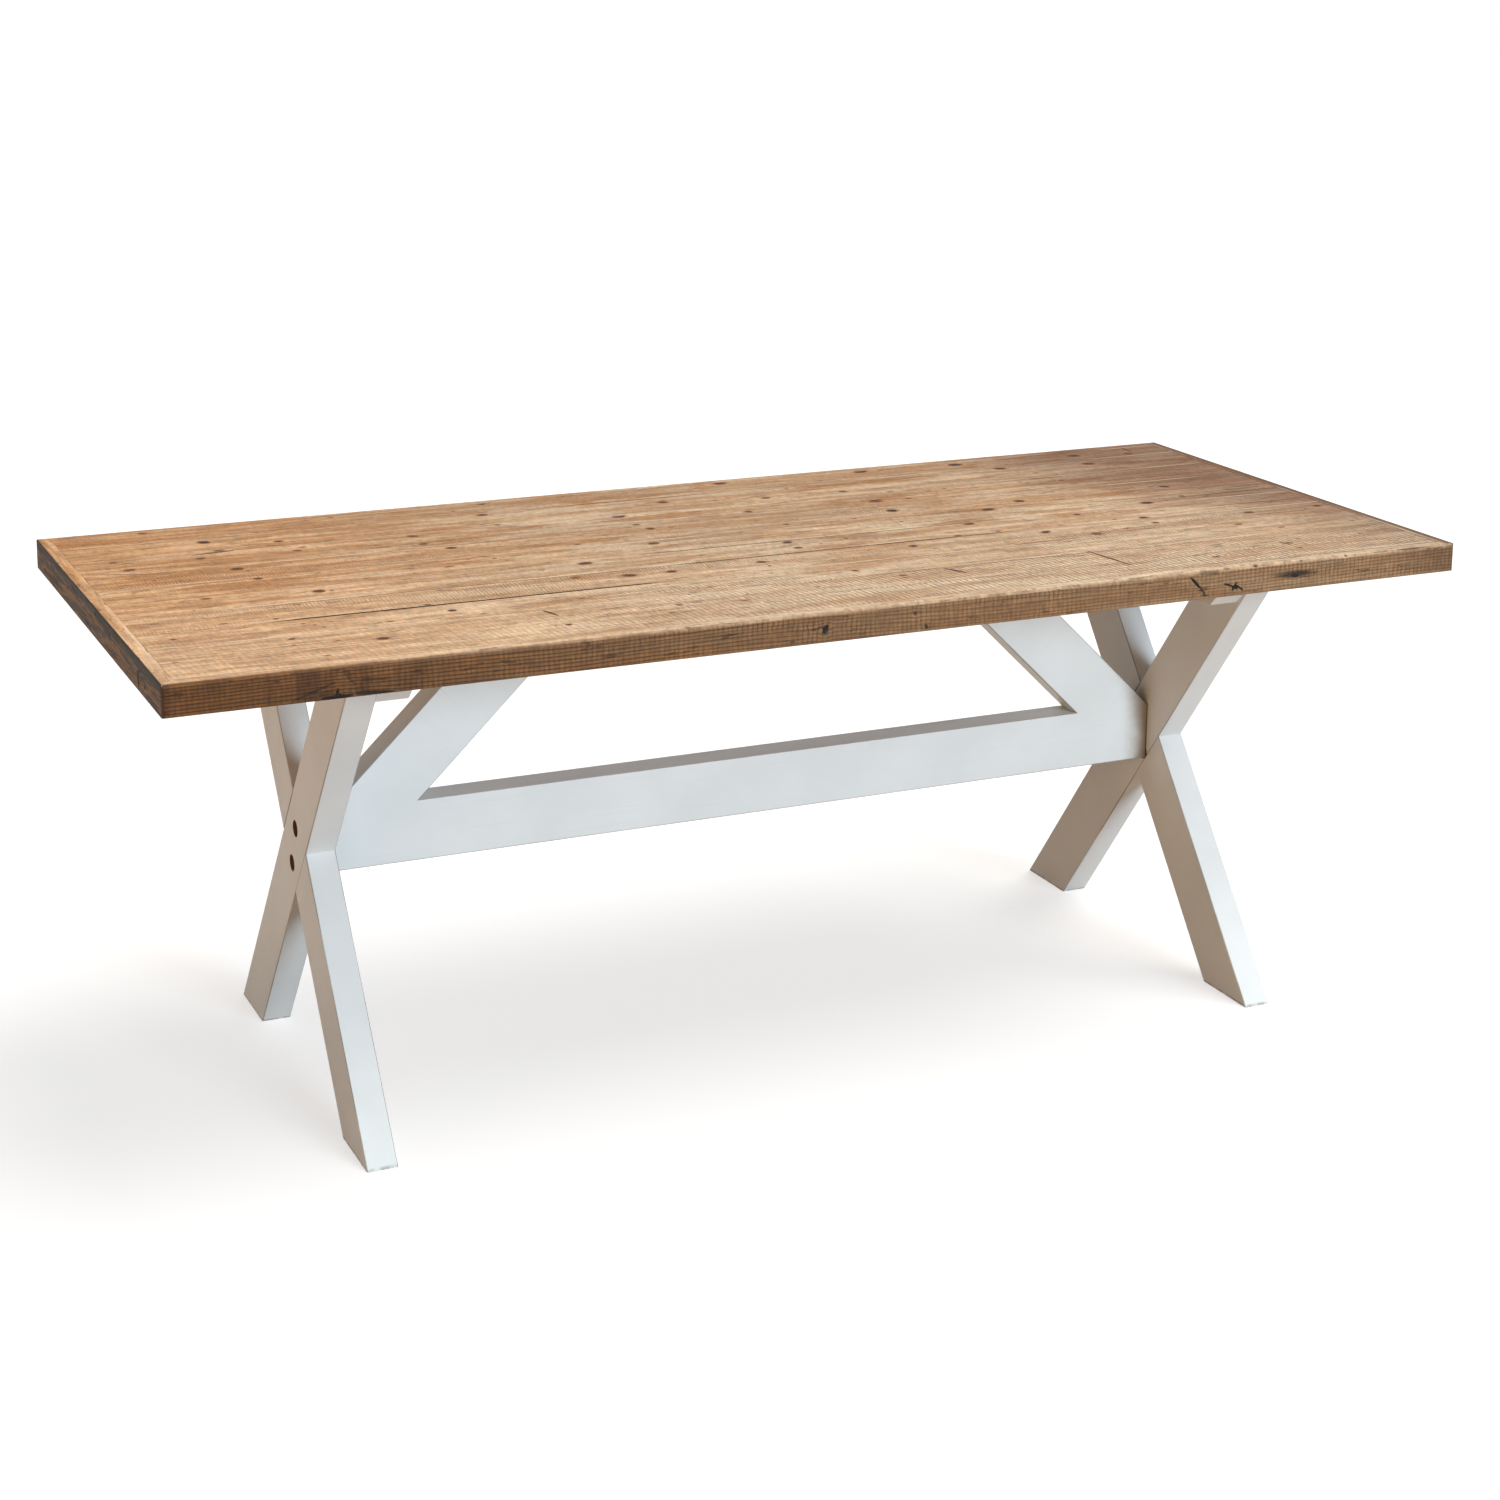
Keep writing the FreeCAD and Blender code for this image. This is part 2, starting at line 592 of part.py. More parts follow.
def makeFasteners():
    bolts, coachScrews, washers, nuts = [], [], [], []
    stretcherDowels, braceDowels, braceScrews, topScrews, legScrews = [], [], [], [], []
    for name, side in sides.items():
        bolt = hexScrew(f"bolt_{name}", dims["boltLength"])
        placeInwards(bolt, side, headSeat, dims["boltY"], boltHeight)
        bolts.append(bolt)

        coach = hexScrew(f"coach_{name}", dims["coachLength"], pointed=True)
        placeInwards(coach, side, headSeat, dims["coachY"], coachHeight)
        coachScrews.append(coach)

        for use, y, height in (("bolt", dims["boltY"], boltHeight), ("coach", dims["coachY"], coachHeight)):
            ring = washer(f"{use}_washer_{name}")
            placeInwards(ring, side, headSeat, y, height)
            washers.append(ring)

        nut = barrelNut(f"barrel_nut_{name}")
        place(nut, fromBase(side, "{innerFace} - {nutInset}"), ex(f"{-side} * {{boltY}}"), boltHeight)
        nuts.append(nut)

        dowel = turned("Part::Cylinder", f"stretcher_dowel_{name}", Radius=dims["dowelRadius"],
                       Height=ex("{dowelInLeg} + {dowelDepth}"))
        placeInwards(dowel, side, "{innerFace} + {dowelInLeg}", dims["dowelY"],
                     ex("{crossHeight} + {dowelZ}"))
        stretcherDowels.append(dowel)

        for number, inset in enumerate(braceDowelInsets, start=1):
            dowel = turned("Part::Cylinder", f"brace_dowel_{name}_{number}", Radius=dims["dowelRadius"],
                           Height=dims["braceDowelLength"])
            place(dowel, fromBase(side, "{innerFace} - " + inset), ex(f"{-side} * {{braceDowelY}}"),
                  ex("{stretcherTop} - {braceDowelLength} / 2"))
            braceDowels.append(dowel)

        screw = woodScrew(f"brace_screw_{name}", dims["sideScrewRadius"],
                          ex("{braceScrewSeat} + {screwBite}"))
        place(screw, fromBase(side, "{innerFace} - {braceScrewX}"), "0",
              ex("{underside} - {braceScrewSeat}"))
        braceScrews.append(screw)

        for n in screwedBoards:
            screw = woodScrew(f"cleat_top_screw_{name}_{n:02d}", dims["topScrewRadius"],
                              ex("{cleatScrewLift} + {screwBite}"))
            place(screw, fromBase(side, "{innerFace} - {cleatWidth} / 2"), dims[f"boardMiddle{n}"],
                  ex("{cleatBase} + {screwSink}"))
            topScrews.append(screw)

        for end, edge in ((-1, "front"), (1, "back")):
            screw = woodScrew(f"cleat_leg_screw_{name}_{edge}", dims["sideScrewRadius"],
                              ex("{cleatWidth} - {screwSink} + {screwBite}"))
            turn = Rotation(Vector(0, 1, 0), side * 90)
            place(screw, fromBase(side, "{innerFace} - {cleatWidth} + {screwSink}"),
                  ex(f"{end} * {{sideScrewY}}"), dims["cleatMiddle"], turn)
            legScrews.append(screw)

    return [
        group("stretcher_bolts", bolts),
        group("lap_coach_screws", coachScrews),
        group("bolt_washers", washers),
        group("barrel_nuts", nuts),
        group("stretcher_dowels", stretcherDowels),
        group("brace_dowels", braceDowels),
        group("brace_screws", braceScrews),
        group("cleat_top_screws", topScrews),
        group("cleat_leg_screws", legScrews),
    ]


pieces = [makeBoard(n) for n in range(1, boardCount + 1)]
for label, length, arris, turn, x, y, tongued in (
    ("lipping_front", dims["topLength"], dims["frontArris"], 0, "0", ex("-{topWidth} / 2"), True),
    ("lipping_back", dims["topLength"], dims["sideArris"], 180, "0", ex("{topWidth} / 2"), False),
    ("lipping_left", dims["topWidth"], dims["sideArris"], -90, ex("-{topLength} / 2"), "0", False),
    ("lipping_right", dims["topWidth"], dims["sideArris"], 90, ex("{topLength} / 2"), "0", False),
):
    pieces.append(makeLipping(label, length, arris, turn, x, y, tongued))
# the right pair is the left pair turned half round, so its outer leg stands on the front foot
pieces.append(makeLeg("leg_left_rear", leftSide, outer=True))
pieces.append(makeLeg("leg_left_front", leftSide, outer=False))
pieces.append(makeLeg("leg_right_front", rightSide, outer=True))
pieces.append(makeLeg("leg_right_rear", rightSide, outer=False))
pieces.append(makeStretcher())
for name, side in sides.items():
    pieces.append(makeBrace(f"brace_{name}", side))
    pieces.append(makeCleat(f"cleat_{name}", side))
pieces += makeFasteners()
doc.recompute()

# ---- Checks before anything is written

faults = []
for item in doc.Objects:
    if "Invalid" in item.State or "Error" in item.State:
        faults.append(f"{item.Label}: {item.State}")
    if item.TypeId == "PartDesign::Pocket":
        before = item.BaseFeature.Shape.Volume
        if before - item.Shape.Volume < 1:
            faults.append(f"{item.Label} cuts nothing")
for piece in pieces:
    if piece.Shape.isNull() or not piece.Shape.isValid() or not piece.Shape.Solids:
        faults.append(f"{piece.Label} has no valid solid")
if faults:
    raise RuntimeError("; ".join(faults))

os.makedirs("parts", exist_ok=True)
for piece in pieces:
    piece.Shape.exportStep(f"parts/{piece.Label}.step")
    box = piece.Shape.BoundBox
    print(f"{piece.Label}: {len(piece.Shape.Solids)} solids, {piece.Shape.Volume / 1000:.1f} cm3, "
          f"{box.XLength:.1f} x {box.YLength:.1f} x {box.ZLength:.1f}")
print(f"{len(pieces)} nodes written")
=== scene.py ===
import math
import random

import bpy
from mathutils import Matrix, Vector


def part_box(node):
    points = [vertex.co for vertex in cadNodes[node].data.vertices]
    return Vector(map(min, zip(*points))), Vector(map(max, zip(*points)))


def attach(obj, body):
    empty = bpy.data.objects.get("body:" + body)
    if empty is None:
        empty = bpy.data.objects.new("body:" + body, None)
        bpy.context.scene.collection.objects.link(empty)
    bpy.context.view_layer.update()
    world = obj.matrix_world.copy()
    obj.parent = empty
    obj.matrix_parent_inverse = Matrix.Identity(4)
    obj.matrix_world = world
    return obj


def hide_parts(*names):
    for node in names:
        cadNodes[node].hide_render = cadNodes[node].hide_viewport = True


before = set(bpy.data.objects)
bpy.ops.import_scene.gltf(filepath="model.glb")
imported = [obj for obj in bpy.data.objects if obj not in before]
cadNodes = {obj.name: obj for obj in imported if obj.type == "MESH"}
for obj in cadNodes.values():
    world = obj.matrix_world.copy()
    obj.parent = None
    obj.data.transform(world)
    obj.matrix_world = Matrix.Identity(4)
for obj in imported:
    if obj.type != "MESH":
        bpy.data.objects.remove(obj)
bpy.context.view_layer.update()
scene = bpy.context.scene
print("loaded the frame:", len(cadNodes), "nodes")

mm = 0.001


# Turns an sRGB hex code into the linear colour that a socket takes
def colour(code):
    channels = [int(code[i:i + 2], 16) / 255 for i in (1, 3, 5)]
    linear = [c / 12.92 if c <= 0.04045 else ((c + 0.055) / 1.055) ** 2.4 for c in channels]
    return (*linear, 1.0)


# Adds a node. Feeds maps a socket to a value, an output, or a node whose first output is used
def add(tree, kind, feeds=None, **settings):
    node = tree.nodes.new(kind)
    for name, value in settings.items():
        setattr(node, name, value)
    for socket, feed in (feeds or {}).items():
        if isinstance(feed, bpy.types.Node):
            feed = feed.outputs[0]
        if isinstance(feed, bpy.types.NodeSocket):
            tree.links.new(feed, node.inputs[socket])
        else:
            node.inputs[socket].default_value = feed
    return node


def newMaterial(name):
    material = bpy.data.materials.new(name)
    material.use_nodes = True
    return material, material.node_tree


# Ends a material. Its dictionary gives the height of the relief in millimetres, how strongly that
# shows, and the values that are the same all over
def finishMaterial(tree, look, tint, rough, relief):
    shader = tree.nodes["Principled BSDF"]
    height, strength = look["relief"]
    bump = add(tree, "ShaderNodeBump", {"Height": relief, "Distance": height * mm, "Strength": strength})
    tree.links.new(tint, shader.inputs["Base Color"])
    tree.links.new(rough.outputs[0], shader.inputs["Roughness"])
    tree.links.new(bump.outputs[0], shader.inputs["Normal"])
    for socket, value in look["constants"].items():
        shader.inputs[socket].default_value = value


view = {
    "place": (-1.7042, -3.7313, 1.7309),  # metres
    "yaw": -24.54,  # degrees, to the right
    "pitch": 12.18,  # degrees, downwards
    "roll": 0.51,
    "lens": 66.09,
    "shift": (0, -0.18),
    "sensor": 36,
    "reach": 100,
}


def makeCamera():
    data = bpy.data.cameras.new("camera")
    data.sensor_width = view["sensor"]
    data.lens = view["lens"]
    data.shift_x, data.shift_y = view["shift"]
    data.clip_end = view["reach"]
    camera = bpy.data.objects.new("camera", data)
    scene.collection.objects.link(camera)
    camera.matrix_world = (
        Matrix.Translation(view["place"])
        @ Matrix.Rotation(math.radians(view["yaw"]), 4, "Z")
        @ Matrix.Rotation(math.radians(90 - view["pitch"]), 4, "X")
        @ Matrix.Rotation(math.radians(view["roll"]), 4, "Z")
    )
    scene.camera = camera


studio = {
    "floorSize": 40,
    "floorDrop": 0.0003,  # keeps the feet and the floor from flickering into each other
    "floorBounce": "#a6876b",  # what the floor throws back on to the table
    "floorLift": 0.62,
    "floorDiffuse": 0.55,
    "ambient": "#f2ede6",
    "ambientStrength": 0.26,
    # name: (direction that it shines from, colour, strength, angle across in degrees)
    "suns": {
        "front": ((0.26, -0.93, 0.22), "#def1ff", 2.45, 25),
        "above": ((0.42, -0.08, 0.88), "#fffaf2", 2.34, 45),
        "left": ((-1.0, -0.38, 0.05), "#ffc98c", 0.74, 30),
    },
}


def makeStudio():
    half, drop = studio["floorSize"] / 2, studio["floorDrop"]
    mesh = bpy.data.meshes.new("floor")
    corners = [(-half, -half, -drop), (half, -half, -drop), (half, half, -drop), (-half, half, -drop)]
    mesh.from_pydata(corners, [], [(0, 1, 2, 3)])
    floor = bpy.data.objects.new("floor", mesh)
    scene.collection.objects.link(floor)

    # white to the camera with the table's shadow kept, warmer and darker for what it lights
    material, floorTree = newMaterial("studioFloor")
    world = bpy.data.worlds.new("studio")
    world.use_nodes = True
    straight = []
    for tree in (floorTree, world.node_tree):
        tree.nodes.clear()
        path = add(tree, "ShaderNodeLightPath").outputs
        seen = add(tree, "ShaderNodeMath", {0: path["Is Camera Ray"], 1: path["Is Glossy Ray"]},
                   operation="MAXIMUM")
        straight.append(add(tree, "ShaderNodeMath", {0: seen, 1: path["Is Transmission Ray"]},
                            operation="MAXIMUM"))

    tree = floorTree
    lift = add(tree, "ShaderNodeEmission", {"Strength": studio["floorLift"]})
    pale = add(tree, "ShaderNodeBsdfDiffuse", {"Color": (*[studio["floorDiffuse"]] * 3, 1)})
    lifted = add(tree, "ShaderNodeAddShader", {0: lift, 1: pale})
    bounce = add(tree, "ShaderNodeBsdfDiffuse", {"Color": colour(studio["floorBounce"])})
    chosen = add(tree, "ShaderNodeMixShader", {0: straight[0], 1: bounce, 2: lifted})
    add(tree, "ShaderNodeOutputMaterial", {"Surface": chosen})
    mesh.materials.append(material)

    tree = world.node_tree
    soft = add(tree, "ShaderNodeBackground", {"Color": colour(studio["ambient"]),
                                              "Strength": studio["ambientStrength"]})
    white = add(tree, "ShaderNodeBackground", {"Color": (1, 1, 1, 1), "Strength": 1})
    chosen = add(tree, "ShaderNodeMixShader", {0: straight[1], 1: soft, 2: white})
    add(tree, "ShaderNodeOutputWorld", {"Surface": chosen})
    scene.world = world

    for name, (source, tint, strength, angle) in studio["suns"].items():
        data = bpy.data.lights.new(name, "SUN")
        data.energy = strength
        data.color = colour(tint)[:3]
        data.angle = math.radians(angle)
        lamp = bpy.data.objects.new(name, data)
        scene.collection.objects.link(lamp)
        lamp.rotation_euler = Vector(source).to_track_quat("Z", "Y").to_euler()


makeCamera()
makeStudio()
scene.view_settings.view_transform = "Standard"
print("camera, floor and light made")


# Reclaimed scaffold boards, sawn with a band saw, brushed and waxed. Resin-rich late wood shows as
# thin brown lines every few millimetres, knots as dark discs with the grain bending round them, and
# wax keeps the sheen low. Dirt stays in the saw marks, most of all on the faces of the lippings, and
# has stained the right-hand end.
oldPine = {
    "pale": "#dfc5a6",
    "tan": "#c39c77",
    "honeyPale": "#e6b98d",
    "honeyTan": "#bf8855",
    "rust": "#ad7746",
    # a pale tint: a painted sheen over the front of the top, and faded wood with a painted highlight beside
    # the joints
    "bleachedAndSheen": "#ecdac0",
    "lateWood": "#8d5a2e",
    "lateDark": "#2c1707",
    "knotCore": "#2c1509",
    "knotRim": "#6d3a1c",
    "knotHalo": "#a8703f",
    "dirt": "#3b2413",
    "handled": "#5c3e28",
    "blackened": "#22150c",
    "stain": "#b7aaa5",  # what the stained end keeps of the wood's own colour
    "faceLeft": "#6c4520",
    "faceRight": "#a58462",
    "scorch": "#130c07",
    # worn is the pale of the rubbed front arris together with a painted highlight on it
    "worn": "#d3b595",
    "weathered": "#38240f",
    "weatheredPale": "#85643f",
    "scorchAt": (0.706, -0.425, 0.7290),  # metres, with its reach along each axis
    "scorchReach": (0.046, 0.02, 0.0075),
    "ringWidth": 3.3,  # millimetres between growth rings
    "faceRingWidth": 5.0,
    "ringWobble": 22.0,  # millimetres
    "knotBend": 0.85,  # how far a knot pushes the grain aside, and how fast that fades
    "knotBendFading": -0.16,
    "knotRagged": 0.35,  # repeats a millimetre, and by how much of its radius
    "knotRaggedBy": 0.9,
    "leftwardRaggedBy": 0.5,  # metres by which the warmer left and the stained right move in and out
    "rightwardRaggedBy": 0.35,
    "rightSlant": 0.45,  # how much further the stain reaches at the back
    "relief": (0.25, 0.6),
    "constants": {"IOR": 1.5, "Specular IOR Level": 0.25},  # open, brushed grain shines little
    "stored": ["tone", "markReach", "markDark", "outer", "edge", "weather", "worn", "sawPhase", "sawHere",
               "opened", "rim", "jointDirt"],
    # noise along the grain: repeats a millimetre along it and across it, detail, roughness
    "grainNoise": {
        "wobble": (0.0016, 0.02, 2.0, 0.5),
        "bold": (0.003, 0.03, 2.0, 0.5),
        "streak": (0.0040, 0.050, 5.0, 0.6),
        "patch": (0.0065, 0.028, 4.0, 0.6),
        "mottle": (0.030, 0.055, 4.0, 0.75),
        "fleck": (0.15, 0.065, 2.0, 0.6),
        "fine": (0.014, 0.45, 4.0, 0.75),
        "dash": (0.024, 0.12, 3.0, 0.6),
        "blotch": (0.011, 0.085, 4.0, 0.65),
        "faded": (0.004, 0.01, 2.0, 0.5),
    },
    # noise fixed to the table: repeats a metre along it and across it, detail, roughness
    "tableNoise": {
        "cloud": (1.6, 4.0, 3.0, 0.5),
        "bar": (16.0, 3.0, 3.0, 0.5),
        "speck": (150.0, 150.0, 2.0, 0.5),
    },
    # soft steps: what is read, from where to where, and what it becomes at either end. Places x, y, z
    # are in metres; rim is millimetres from the nearest joint, and edge from a lipping's outer face
    "steps": {
        "lateRise": ("ring", 0.35, 0.9, 0.0, 1.0),
        "lateFall": ("ring", 0.9, 1.0, 1.0, 0.0),
        "lateBold": ("bold", 0.40, 0.66, 0.08, 0.60),
        "streaked": ("streak", 0.40, 0.60, 0.0, 1.0),
        "patched": ("patch", 0.52, 0.66, 0.0, 0.8),
        "dashed": ("dash", 0.62, 0.67, 1.0, 0.5),
        "warm": ("leftward", -0.7, 0.15, 1.0, 0.0),
        # painted sheen, paling the top towards its front edge
        "frontPale": ("y", -0.42, 0.15, 0.24, 0.0),
        "stained": ("rightward", 0.78, 1.16, 0.0, 1.0),
        "faceStreaked": ("streak", 0.40, 0.60, 0.0, 0.35),
        "faceBold": ("x", -0.9, 0.2, 0.85, 0.48),
        "faceEnd": ("x", 0.86, 1.0, 0.0, 0.4),
        "bars": ("bar", 0.44, 0.56, 0.0, 0.55),
        "barsLeft": ("x", -0.80, -0.55, 1.0, 0.0),
        "nearEdge": ("edge", 5.0, 14.0, 0.8, 0.0),
        "offSide": ("outer", 0.2, 1.0, 1.0, 0.0),
        "highOnFace": ("z", 0.7425, 0.7480, 0.0, 0.8),
        "rubbedPatch": ("mottle", 0.35, 0.55, 0.5, 1.0),
        "rubbedRight": ("x", -0.75, 0.0, 0.22, 1.0),
        "wornShare": ("worn", 0.0, 1.0, 0.0, 0.8),
        "wornFront": ("worn", 0.0, 1.0, 0.0, 1.0),
        "unworn": ("worn", -1.0, 0.0, 1.0, 0.0),
        "darkEdge": ("edge", 2.0, 6.5, 0.9, 0.0),
        "darkLeft": ("x", -0.88, -0.55, 1.0, 0.0),
        "speckled": ("speck", 0.58, 0.66, 0.0, 0.55),
        "underTop": ("z", 0.7350, 0.7420, 0.0, 1.0),
        "arrisPatch": ("mottle", 0.3, 0.5, 0.5, 1.0),
        "sawLine": ("fromSawMark", 0.06, 0.28, 1.0, 0.0),
        "sawPatch": ("mottle", 0.38, 0.58, 0.35, 1.0),
        "sawDirt": ("outer", 0.0, 1.0, -0.62, -0.48),  # what the dirt in a saw mark adds to its shade
        "blotched": ("blotch", 0.44, 0.58, 0.0, 1.0),
        "rightEdge": ("x", 0.9845, 0.9900, 0.0, 1.0),
        "handledPatch": ("mottle", 0.35, 0.55, 0.65, 0.95),
        "offFace": ("outer", 0.0, 0.5, 1.0, 0.0),
        "atCorner": ("corner", 1.4200, 1.4235, 0.0, 1.0),
        "onFace": ("outer", 0.05, 0.3, 0.0, 1.0),
        "scorched": ("fromScorch", 0.3, 1.1, 0.98, 0.0),
        "scorchFibre": ("fine", 0.40, 0.60, 0.70, 1.0),
        "halo": ("fromKnot", 1.0, 2.4, 0.6, 0.0),
        "knotRing": ("fromKnot", 1.15, 1.6, 0.95, 0.0),
        "core": ("fromKnot", 0.85, 1.25, 1.0, 0.0),
        "jointLine": ("rim", 0.1, 1.3, 0.8, 0.0),
        "jointPatch": ("mottle", 0.42, 0.60, 0.0, 1.0),
        "jointGap": ("rim", 1.8, 3.4, 1.0, 0.0),
        "fadedPatch": ("faded", 0.50, 0.66, 0.0, 0.45),
        "fadedFrom": ("rim", 1.0, 1.8, 0.0, 1.0),
        "fadedTo": ("rim", 3.5, 7.0, 1.0, 0.0),
        "offArris": ("outer", 0.0, 0.3, 1.0, 0.0),
        "rough": ("fine", 0.3, 0.7, 0.6, 0.78),
    },
    # even ramps, given in the same way
    "ramps": {
        "backDarker": ("y", -0.3, 0.4, 1.0, 0.90),
        "faceRightward": ("x", -0.95, 0.7, 0.0, 1.0),
        "fineShade": ("fine", 0.34, 0.66, 0.74, 1.22),
        "mottleShade": ("mottle", 0.34, 0.66, 0.86, 1.12),
        "fleckShade": ("fleck", 0.30, 0.70, 0.84, 1.16),
    },
    # what each finish covers, worked out from the values above in this order
    "masks": {
        "late": ("MULTIPLY", "lateRise", "lateFall"),
        "lateTop": ("MULTIPLY", "late", "lateBold"),
        "lateFace": ("MULTIPLY", "late", "faceBold"),
        "lateEnd": ("MULTIPLY", "late", 0.5),
        "lateRelief": ("MULTIPLY", "late", 0.3),
        "barred": ("MULTIPLY", "bars", "barsLeft"),
        "rubbedTop": ("MULTIPLY", "nearEdge", "offSide"),
        "rubbedFace": ("MULTIPLY", "highOnFace", "outer"),
        "rubbedAll": ("MAXIMUM", "rubbedTop", "rubbedFace"),
        "rubbed": ("MULTIPLY", "rubbedAll", "rubbedPatch", "rubbedRight"),
        "unrubbed": ("SUBTRACT", 1.0, "rubbed"),
        # the rubbed front arris paled, with a painted highlight on it
        "rubbedPaleAndHighlight": ("MULTIPLY", "rubbed", "wornShare"),
        "darkArris": ("MULTIPLY", "darkEdge", "darkLeft", "wornFront"),
        "specks": ("MULTIPLY", "rubbed", "speckled", "wornFront"),
        "inner": ("SUBTRACT", 1.0, "outer"),
        "upperArris": ("MULTIPLY", "outer", "inner", 4.0),
        "sideArris": ("MULTIPLY", "underTop", "outer"),
        "arris": ("MAXIMUM", "upperArris", "sideArris"),
        "dirtyArris": ("MULTIPLY", "arris", "arrisPatch", "unworn"),
        "sawn": ("MULTIPLY", "sawLine", "sawHere", "sawPatch", "unrubbed"),
        "sawLoss": ("MULTIPLY", "sawn", "sawDirt"),
        "sawShade": ("ADD", "sawLoss", 1.0),
        "shade": ("MULTIPLY", "fineShade", "sawShade", "mottleShade", "fleckShade", "dashed"),
        "handledEdge": ("MULTIPLY", "rightEdge", "handledPatch", "offFace"),
        "cornerDirt": ("MULTIPLY", "atCorner", "onFace"),
        "smear": ("MULTIPLY", "scorched", "scorchFibre", "outer"),
        "knotHalo": ("MULTIPLY", "halo", "markDark", "offFace"),
        "knotRim": ("MULTIPLY", "knotRing", "markDark", "offFace"),
        "knotCore": ("MULTIPLY", "core", "markDark"),
        "jointSoil": ("MULTIPLY", "jointLine", "jointPatch", "jointDirt"),
        "jointOpen": ("MULTIPLY", "jointGap", "opened"),
        # a pale line a few millimetres from a joint: faded wood with a painted highlight
        "jointFadedAndHighlight": ("MULTIPLY", "fadedFrom", "fadedTo", "fadedPatch", "offArris"),
        "grainRelief": ("ADD", "lateRelief", "fine"),
        "relief": ("SUBTRACT", "grainRelief", "sawn"),
    },
    # tints laid over one another in turn: the result, what lies below, the mask, and what lies above,
    # which is multiplied with it where that is said
    "layers": [
        # the top of the boards, warmer to the left, stained to the right, paled by a painted sheen towards
        # the front and darker at the back
        ("lighter", "pale", "warm", "honeyPale"),
        ("darker", "tan", "warm", "honeyTan"),
        ("wood", "lighter", "streaked", "darker"),
        ("wood", "wood", "tone", "rust"),
        ("wood", "wood", "patched", "rust"),
        ("wood", "wood", "lateTop", "lateWood"),
        ("wood", "wood", "frontPale", "bleachedAndSheen"),
        ("wood", "wood", "stained", "stain", "MULTIPLY"),
        ("wood", "wood", 1.0, "backDarker", "MULTIPLY"),
        # the faces of the lippings, browner and more strongly figured
        ("face", "faceLeft", "faceRightward", "faceRight"),
        ("face", "face", "faceStreaked", "lateWood"),
        ("face", "face", "lateFace", "lateDark"),
        ("face", "face", "faceEnd", "lateDark"),
        ("face", "face", "barred", "lateDark"),
        ("wood", "wood", "outer", "face"),
        # the front arris is rubbed pale and painted with a highlight, most of all to the right, and dark at
        # its left end
        ("wood", "wood", "rubbedPaleAndHighlight", "worn"),
        ("wood", "wood", "darkArris", "face"),
        ("wood", "wood", "specks", "dirt"),
        ("wood", "wood", 1.0, "shade", "MULTIPLY"),
        # grey-brown weathering on the ends
        ("grey", "weathered", "blotched", "weatheredPale"),
        ("grey", "grey", "lateEnd", "dirt"),
        ("wood", "wood", "weather", "grey"),
        # dirt, the smear and the knots, which on the faces of the lippings are plain black cracks
        ("wood", "wood", "dirtyArris", "blackened"),
        ("wood", "wood", "handledEdge", "handled"),
        ("wood", "wood", "cornerDirt", "dirt"),
        ("wood", "wood", "smear", "scorch"),
        ("wood", "wood", "knotHalo", "knotHalo"),
        ("wood", "wood", "knotRim", "knotRim"),
        ("core", "knotCore", "outer", "scorch"),
        ("wood", "wood", "knotCore", "core"),
        # along the joints: faded pale with a painted highlight beside them in places, dirty, and darker on
        # either side where one stands open
        ("wood", "wood", "jointFadedAndHighlight", "bleachedAndSheen"),
        ("wood", "wood", "jointSoil", "dirt"),
        # darker on either side of a joint that stands open
        ("wood", "wood", "jointOpen", "dirt"),
    ],
}


